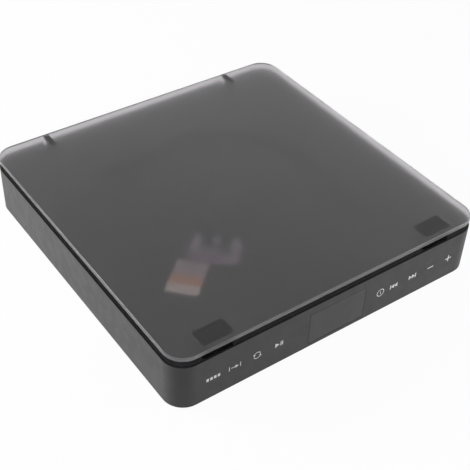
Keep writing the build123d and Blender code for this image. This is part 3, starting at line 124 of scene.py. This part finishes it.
# Sticker on the deck beside the end of the pickup's run, measured from the spindle
STICKER_START = 63.2 * MM
STICKER_L = 25.2 * MM
STICKER_W = 17.4 * MM
STICKER_SIDE = -8.2 * MM
STICKER_TURN = radians(-3.0)
STICKER_T = 0.1 * MM
STICKER_CORNER = 1.0 * MM
STICKER_ORANGE = 11.8 * MM
STICKER_CREAM = 18.2 * MM

# Circuit film on the pickup
FILM_L = 8.0 * MM
FILM_W = 18.0 * MM
FILM_SIDE = -5.5 * MM
FILM_T = 0.08 * MM
FILM_CORNER = 1.5 * MM


# Shader helpers

# The part of a noise value that is stretched over the whole range
NOISE_LOW = 0.25
NOISE_HIGH = 0.75

# The mix node's colour sockets
MIX_FIRST = 6
MIX_SECOND = 7
MIX_RESULT = 2


class Surface:
    """A principled material whose colour, roughness and grain come from noise in object coordinates."""

    def __init__(self, name, colour, rough, metallic=0.0):
        self.material = bpy.data.materials.new(name)
        self.material.use_nodes = True
        self.nodes = self.material.node_tree.nodes
        self.links = self.material.node_tree.links
        self.shader = self.nodes["Principled BSDF"]
        self.colour = colour
        self.rough = rough
        self.shader.inputs["Metallic"].default_value = metallic
        self.space = self.nodes.new("ShaderNodeTexCoord").outputs["Object"]

    def stretch(self, scale):
        """Object coordinates stretched along the axes, for drawn or brushed marks."""
        mapping = self.nodes.new("ShaderNodeMapping")
        mapping.inputs["Scale"].default_value = scale
        self.links.new(self.space, mapping.inputs["Vector"])
        return mapping.outputs["Vector"]

    def noise(self, size, detail=3.0, space=None):
        """Noise whose features are about size metres across."""
        node = self.nodes.new("ShaderNodeTexNoise")
        node.inputs["Scale"].default_value = 1.0 / size
        node.inputs["Detail"].default_value = detail
        self.links.new(space or self.space, node.inputs["Vector"])
        return node.outputs["Fac"]

    def spread(self, value, low, high):
        """The middle of a noise value stretched to the range low to high."""
        node = self.nodes.new("ShaderNodeMapRange")
        node.interpolation_type = "SMOOTHSTEP"
        node.inputs["From Min"].default_value = NOISE_LOW
        node.inputs["From Max"].default_value = NOISE_HIGH
        node.inputs["To Min"].default_value = low
        node.inputs["To Max"].default_value = high
        self.links.new(value, node.inputs["Value"])
        return node.outputs["Result"]

    def mix(self, factor, first, second):
        """Colour between first and second."""
        node = self.nodes.new("ShaderNodeMix")
        node.data_type = "RGBA"
        for index, value in ((MIX_FIRST, first), (MIX_SECOND, second)):
            if isinstance(value, tuple):
                node.inputs[index].default_value = (*value, 1.0)
            else:
                self.links.new(value, node.inputs[index])
        self.links.new(factor, node.inputs[0])
        return node.outputs[MIX_RESULT]

    def paint(self, colour):
        """Drives the base colour."""
        self.links.new(colour, self.shader.inputs["Base Color"])

    def painted(self):
        """What drives the base colour so far."""
        return self.shader.inputs["Base Color"].links[0].from_socket

    def maths(self, operation, value, limit):
        """One math node on a value and a number or a second value."""
        node = self.nodes.new("ShaderNodeMath")
        node.operation = operation
        self.links.new(value, node.inputs[0])
        if isinstance(limit, float):
            node.inputs[1].default_value = limit
        else:
            self.links.new(limit, node.inputs[1])
        return node.outputs[0]

    def place(self):
        """The three object coordinates, apart."""
        split = self.nodes.new("ShaderNodeSeparateXYZ")
        self.links.new(self.space, split.inputs[0])
        return split.outputs

    def mottle(self, size, amount, detail=3.0):
        """Slight colour variation round the base colour."""
        dark = tuple(c * (1 - amount) for c in self.colour)
        light = tuple(min(1.0, c * (1 + amount)) for c in self.colour)
        self.paint(self.mix(self.spread(self.noise(size, detail), 0.0, 1.0), dark, light))

    def gloss(self, size, amount, space=None, detail=3.0):
        """Roughness that varies by amount round the base roughness."""
        low = max(0.0, self.rough - amount)
        value = self.spread(self.noise(size, detail, space), low, self.rough + amount)
        self.links.new(value, self.shader.inputs["Roughness"])

    def grain(self, size, depth, space=None, detail=2.0):
        """Bump of about depth metres."""
        bump = self.nodes.new("ShaderNodeBump")
        bump.inputs["Distance"].default_value = depth
        self.links.new(self.noise(size, detail, space), bump.inputs["Height"])
        self.links.new(bump.outputs["Normal"], self.shader.inputs["Normal"])

    def set(self, socket, value):
        """Sets one socket of the shader to a constant."""
        self.shader.inputs[socket].default_value = value


def moulded(name, colour, rough, grain=0.35 * MM, depth=0.02 * MM, mottle=0.05, shine=0.5):
    """Moulded plastic with an eroded, matt texture."""
    s = Surface(name, colour, rough)
    s.mottle(18 * MM, mottle)
    s.gloss(6 * MM, 0.05)
    s.grain(grain, depth)
    s.set("Specular IOR Level", shine)
    return s


def case_plastic(name, colour):
    """Matt case plastic, black on the rim round the glossy top: the deck's own black carried out to the
    edge, and partly painted shade of the gap under the lid.
    """
    s = moulded(name, colour, 0.5, depth=0.006 * MM, mottle=0.02, shine=0.25)
    # Partly painted shade: the rim under the lid's gap is made black, both as the deck's black and as
    # the gap's shadow.
    rim = s.maths("GREATER_THAN", s.place()[2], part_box("upper_case")[1].z - RIM_PAINT)
    s.paint(s.mix(rim, s.painted(), RIM_BLACK))
    return s


def window_plastic(name, colour):
    """Smooth window plastic with a dark line along its edges."""
    s = moulded(name, colour, 0.38, 0.3 * MM, 0.008 * MM, shine=0.25)
    low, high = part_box("display_window")
    x, _, z = s.place()
    for value, axis in ((x, 0), (z, 2)):
        reach = s.maths("ABSOLUTE", s.maths("SUBTRACT", value, (low[axis] + high[axis]) / 2), 0.0)
        edge = s.maths("GREATER_THAN", reach, (high[axis] - low[axis]) / 2 - WINDOW_LINE)
        s.paint(s.mix(edge, s.painted(), RIM_BLACK))
    return s


def polished(name, colour, rough=0.06, shine=0.5):
    """Polished plastic with the faint waviness of a moulded face."""
    s = Surface(name, colour, rough)
    s.set("Specular IOR Level", shine)
    s.mottle(25 * MM, 0.08)
    s.gloss(9 * MM, 0.02)
    s.grain(14 * MM, 0.01 * MM, detail=1.0)
    return s


def rubber(name, colour):
    """Soft matt rubber with a dusty bloom."""
    s = Surface(name, colour, 0.75)
    s.mottle(4 * MM, 0.2)
    s.gloss(2 * MM, 0.1)
    s.grain(0.5 * MM, 0.04 * MM)
    return s


def machined(name, colour, rough, along=(1.0, 12.0, 12.0)):
    """Metal with fine marks drawn along one axis."""
    s = Surface(name, colour, rough, 1.0)
    drawn = s.stretch(along)
    s.mottle(5 * MM, 0.08)
    s.gloss(1.2 * MM, 0.08, drawn)
    s.grain(0.8 * MM, 0.004 * MM, drawn)
    return s


def circuit_board(name):
    """Solder mask with lighter copper traces under it and scattered bare pads."""
    s = Surface(name, (0.012, 0.09, 0.035), 0.35)
    bricks = s.nodes.new("ShaderNodeTexBrick")
    bricks.inputs["Scale"].default_value = 1.0 / (5 * MM)
    bricks.inputs["Mortar Size"].default_value = TRACE_W
    bricks.inputs["Color1"].default_value = (*s.colour, 1.0)
    bricks.inputs["Color2"].default_value = (0.016, 0.11, 0.045, 1.0)
    bricks.inputs["Mortar"].default_value = (0.04, 0.22, 0.10, 1.0)
    s.links.new(s.space, bricks.inputs["Vector"])
    dots = s.nodes.new("ShaderNodeTexVoronoi")
    dots.inputs["Scale"].default_value = 1.0 / (3 * MM)
    s.links.new(s.space, dots.inputs["Vector"])
    pads = s.maths("LESS_THAN", dots.outputs["Distance"], SOLDER_PAD_R)
    s.paint(s.mix(pads, bricks.outputs["Color"], (0.55, 0.5, 0.35)))
    s.gloss(3 * MM, 0.08)
    s.grain(1.5 * MM, 0.02 * MM)
    return s


def wound_copper(name):
    """Enamelled wire in close turns, with a painted highlight along each turn and painted shade between
    turns.
    """
    s = Surface(name, (0.28, 0.1, 0.04), 0.3, 1.0)
    turns = s.nodes.new("ShaderNodeTexWave")
    turns.bands_direction = "Z"
    turns.inputs["Scale"].default_value = 1.0 / (1.2 * MM)
    turns.inputs["Distortion"].default_value = 0.6
    s.links.new(s.space, turns.inputs["Vector"])
    # The lighter middle of each turn is a painted highlight, and the darker band between turns is
    # painted shade.
    s.paint(s.mix(turns.outputs["Fac"], s.colour, (0.6, 0.28, 0.12)))
    s.gloss(1 * MM, 0.08)
    return s


def frosted_acrylic(name):
    """Smoke-tinted acrylic with a satin face: clear enough to show what touches it from below."""
    s = Surface(name, (0.482, 0.466, 0.484), 0.29)
    s.mottle(60 * MM, 0.02, detail=0.0)
    s.gloss(60 * MM, 0.01, detail=0.0)
    s.set("Transmission Weight", 1.0)
    s.set("IOR", 1.47)
    return s


def coated_glass_painted_highlight(name):
    """Lens glass with a violet coating, pale and only partly clear: its paleness is a painted
    highlight.
    """
    # Pale violet base: the coating's violet, with its paleness a painted highlight on the lens.
    s = Surface(name, (0.85, 0.74, 0.88), 0.03)
    s.mottle(2 * MM, 0.1)
    s.gloss(1 * MM, 0.02)
    s.set("Transmission Weight", 0.3)
    s.set("Coat Weight", 0.6)
    return s


def printed_sticker(name, along):
    """Coated paper with a grey, an orange and a cream band across it, from the spindle outward."""
    s = Surface(name, (0.5, 0.4, 0.4), 0.45)
    reach = s.nodes.new("ShaderNodeVectorMath")
    reach.operation = "DOT_PRODUCT"
    reach.inputs[1].default_value = along
    s.links.new(s.space, reach.inputs[0])
    bands = s.colour
    for start, colour in ((STICKER_ORANGE, (0.84, 0.42, 0.25)), (STICKER_CREAM, (0.88, 0.76, 0.68))):
        past = s.maths("GREATER_THAN", reach.outputs["Value"], STICKER_START + start)
        bands = s.mix(past, bands, colour)
    s.paint(bands)
    s.gloss(3 * MM, 0.05)
    return s


def circuit_film_painted_sheen(name):
    """Circuit film with paler tracks in it, tinted violet as a painted sheen of the pickup's
    reflections.
    """
    # Violet tint: a painted sheen of the pickup's reflections; the paler tracks are the film's pattern.
    s = Surface(name, (0.28, 0.15, 0.28), 0.25)
    wave = s.nodes.new("ShaderNodeTexWave")
    wave.inputs["Scale"].default_value = 1.0 / (3.5 * MM)
    s.links.new(s.space, wave.inputs["Vector"])
    s.paint(s.mix(wave.outputs["Fac"], s.colour, (0.42, 0.26, 0.42)))
    s.gloss(2 * MM, 0.05)
    return s


def flat_cable(name):
    """Pale film with a fine stripe for each conductor."""
    s = Surface(name, (0.45, 0.43, 0.38), 0.4)
    wave = s.nodes.new("ShaderNodeTexWave")
    wave.inputs["Scale"].default_value = 1.0 / (3 * MM)
    s.links.new(s.space, wave.inputs["Vector"])
    s.paint(s.mix(wave.outputs["Fac"], s.colour, (0.7, 0.68, 0.62)))
    s.gloss(4 * MM, 0.05)
    return s


def make_materials():
    """One finished material for each slot of the record."""
    return {
        "case_grey": case_plastic("case_grey", (0.058, 0.058, 0.059)),
        "deck_black": polished("deck_black", (0.008, 0.008, 0.009), shine=0.35),
        "cover_black": moulded("cover_black", (0.028, 0.028, 0.03), 0.6, 0.6 * MM, 0.05 * MM),
        "lid_smoke": frosted_acrylic("lid_smoke"),
        "window_smoke": window_plastic("window_smoke", (0.057, 0.057, 0.059)),
        "arm_black": moulded("arm_black", (0.018, 0.018, 0.018), 0.4),
        "bracket_black": moulded("bracket_black", (0.03, 0.03, 0.03), 0.5),
        "pad_rubber": rubber("pad_rubber", (0.014, 0.014, 0.015)),
        "damper_rubber": rubber("damper_rubber", (0.02, 0.02, 0.022)),
        "mat_rubber": rubber("mat_rubber", (0.035, 0.035, 0.035)),
        "touch_foam": rubber("touch_foam", (0.08, 0.08, 0.08)),
        "bright_steel": machined("bright_steel", (0.62, 0.62, 0.63), 0.2),
        "screw_steel": machined("screw_steel", (0.4, 0.4, 0.41), 0.32, (4.0, 4.0, 1.0)),
        "plate_steel": machined("plate_steel", (0.55, 0.55, 0.55), 0.35),
        "socket_metal": machined("socket_metal", (0.7, 0.69, 0.67), 0.22),
        "magnet": machined("magnet", (0.6, 0.6, 0.6), 0.15),
        "socket_black": moulded("socket_black", (0.018, 0.018, 0.018), 0.35, 0.3 * MM, 0.008 * MM),
        "board_green": circuit_board("board_green"),
        "chip_grey": machined("chip_grey", (0.45, 0.45, 0.47), 0.4),
        "connector_white": flat_cable("connector_white"),
        "print_white": moulded("print_white", (0.82, 0.82, 0.82), 0.5, 0.2 * MM, 0.002 * MM, 0.02),
        "display_dark": polished("display_dark", (0.02, 0.02, 0.024), 0.12),
        "chassis_black": moulded("chassis_black", (0.032, 0.032, 0.033), 0.5, 0.7 * MM, 0.04 * MM),
        "coil_copper": wound_copper("coil_copper"),
        "table_black": polished("table_black", (0.022, 0.022, 0.022), 0.2),
        "jaw_white": moulded("jaw_white", (0.68, 0.68, 0.64), 0.35, 0.5 * MM, 0.006 * MM, 0.02),
        # The sled metal's violet tint is a painted sheen of the pickup's reflections.
        "sled_metal": machined("sled_metal", (0.44, 0.35, 0.44), 0.38, (1.0, 1.0, 1.0)),
        "pinion_brass": machined("pinion_brass", (0.7, 0.52, 0.22), 0.25, (4.0, 4.0, 1.0)),
        "holder_black": moulded("holder_black", (0.02, 0.02, 0.02), 0.45),
        "lens_glass": coated_glass_painted_highlight("lens_glass"),
    }


def dress_nodes(materials):
    """Gives each CAD node the finished material of its slot."""
    for row in frame["record"]["subparts"]:
        mesh = frame["nodes"][row["node"]].data
        mesh.materials.clear()
        mesh.materials.append(materials[row["material_slot"]].material)


# Mesh helpers


def add_piece(name, mesh, body, material, stands_for=()):
    """Links a new piece, dresses it and lets it ride on its body."""
    piece = bpy.data.objects.new(name, mesh)
    bpy.context.scene.collection.objects.link(piece)
    mesh.materials.clear()
    mesh.materials.append(material.material)
    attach(piece, body)
    if stands_for:
        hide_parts(*stands_for)


def islands(node):
    """The lowest and the highest corner of each separate solid of a node, from left to right."""
    mesh = bmesh.new()
    mesh.from_mesh(frame["nodes"][node].data)
    bmesh.ops.remove_doubles(mesh, verts=mesh.verts, dist=0.001 * MM)
    left = set(mesh.verts)
    found = []
    while left:
        group, todo = set(), [left.pop()]
        while todo:
            vert = todo.pop()
            group.add(vert)
            near = {edge.other_vert(vert) for edge in vert.link_edges} & left
            left -= near
            todo.extend(near)
        low = [min(v.co[i] for v in group) for i in range(3)]
        high = [max(v.co[i] for v in group) for i in range(3)]
        found.append((Vector(low), Vector(high)))
    mesh.free()
    return sorted(found, key=lambda box: (round(box[0].x, 5), box[0].y))


def plate_mesh(name, outlines, thickness, place):
    """Flat plate with one or more outlines, where an outline inside another is a hole."""
    curve = bpy.data.curves.new(name, "CURVE")
    curve.dimensions = "2D"
    curve.fill_mode = "BOTH"
    curve.extrude = thickness / 2
    for outline in outlines:
        spline = curve.splines.new("POLY")
        spline.points.add(len(outline) - 1)
        for point, (u, v) in zip(spline.points, outline):
            point.co = (u, v, 0.0, 1.0)
        spline.use_cyclic_u = True
    source = bpy.data.objects.new(name + "_source", curve)
    mesh = bpy.data.meshes.new_from_object(source)
    bpy.data.objects.remove(source)
    bpy.data.curves.remove(curve)
    mesh.name = name
    mesh.transform(place)
    return mesh


def rounded_loop(half_x, half_y, corner, z):
    """Points of a rounded rectangle, corner by corner, anticlockwise."""
    points = []
    for k, (sx, sy) in enumerate(((1, 1), (-1, 1), (-1, -1), (1, -1))):
        for i in range(CORNER_STEPS + 1):
            a = (k + i / CORNER_STEPS) * pi / 2
            points.append((sx * (half_x - corner) + corner * cos(a),
                           sy * (half_y - corner) + corner * sin(a), z))
    return points


def slab_mesh(name, low, high, corner, upper_edge, lower_edge):
    """Rounded plate whose upper and lower edges are rolled over."""
    half = (high - low) / 2
    angles = [i / LID_EDGE_STEPS * pi / 2 for i in range(LID_EDGE_STEPS + 1)]
    rings = [(lower_edge * (1 - sin(a)), low.z + lower_edge * (1 - cos(a))) for a in angles]
    rings += [(upper_edge * (1 - cos(a)), high.z - upper_edge * (1 - sin(a))) for a in angles]
    mesh = bmesh.new()
    loops = []
    for inset, z in rings:
        points = rounded_loop(half.x - inset, half.y - inset, corner - inset, z)
        loops.append([mesh.verts.new(point) for point in points])
    count = len(loops[0])
    for lower, upper in zip(loops, loops[1:]):
        for i in range(count):
            j = (i + 1) % count
            face = mesh.faces.new((lower[i], lower[j], upper[j], upper[i]))
            face.smooth = True
    mesh.faces.new(reversed(loops[0]))
    mesh.faces.new(loops[-1])
    made = bpy.data.meshes.new(name)
    mesh.to_mesh(made)
    mesh.free()
    return made


# Signs printed on the front wall


def bar(start, end, half):
    """Rectangle from start to end, as high above the middle as below it."""
    return [(start, -half), (end, -half), (end, half), (start, half)]


def wedge(base, tip, half):
    """Triangle that points from base to tip."""
    return [(base, -half), (tip, 0.0), (base, half)]


def cross_outline(arm, width):
    """Cross with equal arms."""
    a, b = arm, width / 2
    quarter = [(-b, -a), (b, -a), (b, -b)]
    points = []
    for _ in range(4):
        points += quarter
        quarter = [(-v, u) for u, v in quarter]
    return points


def circle(r, steps=40):
    """Full circle round the middle."""
    return [(r * cos(2 * pi * i / steps), r * sin(2 * pi * i / steps)) for i in range(steps)]


def band(r, start, end, steps=14):
    """Part of a ring of stroke width, between two angles in degrees."""
    outer = [(radians(start + (end - start) * i / steps), r + STROKE / 2) for i in range(steps + 1)]
    inner = [(a, r - STROKE / 2) for a, _ in reversed(outer)]
    return [(q * cos(a), q * sin(a)) for a, q in outer + inner]


def arrow_head(r, angle):
    """Triangle at the end of a band."""
    a = radians(angle)
    tip = radians(angle + HEAD_SWEEP)
    return [((r - HEAD_HALF) * cos(a), (r - HEAD_HALF) * sin(a)),
            ((r + HEAD_HALF) * cos(a), (r + HEAD_HALF) * sin(a)),
            (r * cos(tip), r * sin(tip))]


def sign_outlines():
    """The outlines of the nine signs, from the left end of the front to the right."""
    menu = []
    for i in range(4):
        start = (i - 1.5) * BLOCK_STEP
        menu.append(bar(start, start + BLOCK_W, BLOCK_HALF))
    section = [bar(-SECTION_HALF, STROKE - SECTION_HALF, BAR_HALF),
               bar(SECTION_HALF - STROKE, SECTION_HALF, BAR_HALF),
               bar(-SECTION_REACH, ARROW_JOIN, STROKE / 2),
               wedge(ARROW_JOIN, SECTION_REACH, SECTION_HEAD)]
    loop = []
    for start, end in LOOP_ENDS:
        loop += [band(LOOP_R, start, end), arrow_head(LOOP_R, end)]
    play = [wedge(ARROW_JOIN - PLAY_L, ARROW_JOIN, ARROW_HALF)]
    for start in PAUSE_STARTS:
        play.append(bar(start, start + PAUSE_W, BAR_HALF))
    ring = [circle(RING_R), circle(RING_R - STROKE), bar(-STROKE / 2, STROKE / 2, RING_BAR)]
    skip_end = ARROW_JOIN - SKIP_L
    back = [wedge(ARROW_JOIN, skip_end, ARROW_HALF),
            wedge(ARROW_JOIN + SKIP_L, ARROW_JOIN, ARROW_HALF),
            bar(skip_end - SKIP_BAR_W, skip_end, ARROW_HALF)]
    ahead = [[(-u, v) for u, v in outline] for outline in back]
    minus = [bar(-PLUS_ARM, PLUS_ARM, PLUS_W / 2)]
    plus = [cross_outline(PLUS_ARM, PLUS_W)]
    return [("menu", menu), ("section", section), ("loop", loop), ("play", play), ("ring", ring),
            ("back", back), ("ahead", ahead), ("minus", minus), ("plus", plus)]


def make_signs(ink):
    """White signs on the front wall, one in front of each touch pad."""
    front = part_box("upper_case")[0].y
    for (name, outlines), (low, high) in zip(sign_outlines(), islands("touch_pads")):
        middle = (low + high) / 2
        place = Matrix(((1, 0, 0, middle.x), (0, 0, -1, front), (0, 1, 0, middle.z), (0, 0, 0, 1)))
        mesh = plate_mesh("sign_" + name, outlines, INK * 2, place)
        add_piece("sign_" + name, mesh, "case", ink)


# Lid and screw heads


def make_lid(material):
    """The frosted lid in place of its plain solid."""
    low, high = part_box("lid_panel")
    mesh = slab_mesh("frosted_lid", low, high, LID_CORNER, LID_EDGE, LID_LOWER_EDGE)
    add_piece("frosted_lid", mesh, "lid", material, ["lid_panel"])


def make_screw_crosses(material):
    """A cap with a cross recess under each case screw's head."""
    for i, (low, high) in enumerate(islands("case_screws")):
        name = "case_screw_cross_%d" % i
        middle = (low + high) / 2
        place = Matrix.Translation((middle.x, middle.y, low.z - CROSS_DEPTH / 2))
        outlines = [circle((high.x - low.x) / 2 * CROSS_CAP), cross_outline(CROSS_ARM, CROSS_W)]
        mesh = plate_mesh(name, outlines, CROSS_DEPTH, place)
        add_piece(name, mesh, "case", material)


# Sticker and film


def traverse_axes():
    """The directions along and across the pickup's run."""
    slide = next(j for j in frame["record"]["behaviour"]["joints"] if j["name"] == "sled_slide")
    along = Vector(slide["axis"]).normalized()
    return along, Vector((-along.y, along.x, 0.0))


def on_traverse(middle, turn=0.0):
    """Placement at a point, with X along the pickup's run and Y across it, then turned about Z."""
    along, across = traverse_axes()
    place = Matrix(((along.x, across.x, 0, middle.x),
                    (along.y, across.y, 0, middle.y),
                    (0, 0, 1, middle.z),
                    (0, 0, 0, 1)))
    return place @ Matrix.Rotation(turn, 4, "Z")


def rounded_outline(length, width, corner):
    """Rounded rectangle in a plane."""
    return [(x, y) for x, y, _ in rounded_loop(length / 2, width / 2, corner, 0.0)]


def make_sticker(material):
    """Plain banded sticker on the deck where the pickup's run ends."""
    along, across = traverse_axes()
    middle = along * (STICKER_START + STICKER_L / 2) + across * STICKER_SIDE
    middle.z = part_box("top_deck")[1].z + STICKER_T / 2
    outline = rounded_outline(STICKER_L, STICKER_W, STICKER_CORNER)
    mesh = plate_mesh("deck_sticker", [outline], STICKER_T, on_traverse(middle, STICKER_TURN))
    add_piece("deck_sticker", mesh, "case", material)


def make_pickup_film(material):
    """Circuit film on the sled, beyond the frame round the lens."""
    along, across = traverse_axes()
    yoke = [vert.co for vert in frame["nodes"]["lens_yoke"].data.vertices]
    middle = along * (max(p.dot(along) for p in yoke) + FILM_L / 2) + across * FILM_SIDE
    middle.z = min(p.z for p in yoke) + FILM_T / 2
    outline = rounded_outline(FILM_L, FILM_W, FILM_CORNER)
    mesh = plate_mesh("pickup_film", [outline], FILM_T, on_traverse(middle))
    add_piece("pickup_film", mesh, "sled", material)


# Light, floor and camera


def ray_switch(tree):
    """1 for rays from the camera, and for glossy and transmitted ones, otherwise 0."""
    path = tree.nodes.new("ShaderNodeLightPath")
    first = tree.nodes.new("ShaderNodeMath")
    first.operation = "MAXIMUM"
    tree.links.new(path.outputs["Is Camera Ray"], first.inputs[0])
    tree.links.new(path.outputs["Is Glossy Ray"], first.inputs[1])
    second = tree.nodes.new("ShaderNodeMath")
    second.operation = "MAXIMUM"
    tree.links.new(first.outputs[0], second.inputs[0])
    tree.links.new(path.outputs["Is Transmission Ray"], second.inputs[1])
    return second.outputs[0]


def make_world():
    """Even white light, and pure white where the camera or a reflection sees it."""
    world = bpy.data.worlds.new("studio")
    world.use_nodes = True
    tree = world.node_tree
    seen = ray_switch(tree)
    strength = tree.nodes.new("ShaderNodeMapRange")
    strength.inputs["To Min"].default_value = WORLD_STRENGTH
    strength.inputs["To Max"].default_value = 1.0
    tree.links.new(seen, strength.inputs["Value"])
    background = tree.nodes["Background"]
    background.inputs["Color"].default_value = WHITE
    tree.links.new(strength.outputs["Result"], background.inputs["Strength"])
    bpy.context.scene.world = world


def make_floor():
    """Pale floor that shows white to the camera and keeps the shadow."""
    mesh = bpy.data.meshes.new("floor")
    half = FLOOR_SIZE / 2
    corners = [(-half, -half, 0), (half, -half, 0), (half, half, 0), (-half, half, 0)]
    mesh.from_pydata(corners, [], [(0, 1, 2, 3)])
    floor = bpy.data.objects.new("floor", mesh)
    bpy.context.scene.collection.objects.link(floor)
    material = bpy.data.materials.new("floor")
    material.use_nodes = True
    tree = material.node_tree
    shader = tree.nodes["Principled BSDF"]
    shader.inputs["Base Color"].default_value = FLOOR_WHITE
    shader.inputs["Roughness"].default_value = FLOOR_ROUGH
    glow = tree.nodes.new("ShaderNodeEmission")
    glow.inputs["Color"].default_value = WHITE
    share = tree.nodes.new("ShaderNodeMath")
    share.operation = "MULTIPLY"
    share.inputs[1].default_value = FLOOR_GLOW
    tree.links.new(ray_switch(tree), share.inputs[0])
    both = tree.nodes.new("ShaderNodeMixShader")
    tree.links.new(share.outputs[0], both.inputs["Fac"])
    tree.links.new(shader.outputs["BSDF"], both.inputs[1])
    tree.links.new(glow.outputs["Emission"], both.inputs[2])
    tree.links.new(both.outputs["Shader"], tree.nodes["Material Output"].inputs["Surface"])
    mesh.materials.append(material)


def make_lamps():
    """Soft lamps that look at the object and leave no spots in its glossy faces."""
    for name, place, size, power in LAMPS:
        light = bpy.data.lights.new(name, "AREA")
        light.shape = "DISK"
        light.size = size
        light.energy = power
        lamp = bpy.data.objects.new(name, light)
        lamp.location = place
        lamp.rotation_euler = (-place).to_track_quat("-Z", "Y").to_euler()
        lamp.visible_glossy = False
        bpy.context.scene.collection.objects.link(lamp)


def make_camera():
    """Camera at the photograph's place and angle."""
    data = bpy.data.cameras.new("camera")
    data.lens = CAMERA_LENS
    data.sensor_width = SENSOR
    camera = bpy.data.objects.new("camera", data)
    turn = CAMERA_FORWARD.to_track_quat("-Z", "Y") @ Quaternion((0, 0, 1), CAMERA_ROLL)
    camera.matrix_world = Matrix.Translation(CAMERA_PLACE) @ turn.to_matrix().to_4x4()
    bpy.context.scene.collection.objects.link(camera)
    bpy.context.scene.camera = camera


def main():
    """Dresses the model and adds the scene's own pieces."""
    bpy.context.scene.view_settings.view_transform = "Standard"
    materials = make_materials()
    dress_nodes(materials)
    make_lid(materials["lid_smoke"])
    make_signs(materials["print_white"])
    make_screw_crosses(materials["screw_steel"])
    make_sticker(printed_sticker("deck_sticker", traverse_axes()[0]))
    make_pickup_film(circuit_film_painted_sheen("pickup_film"))
    make_world()
    make_floor()
    make_lamps()
    make_camera()


main()
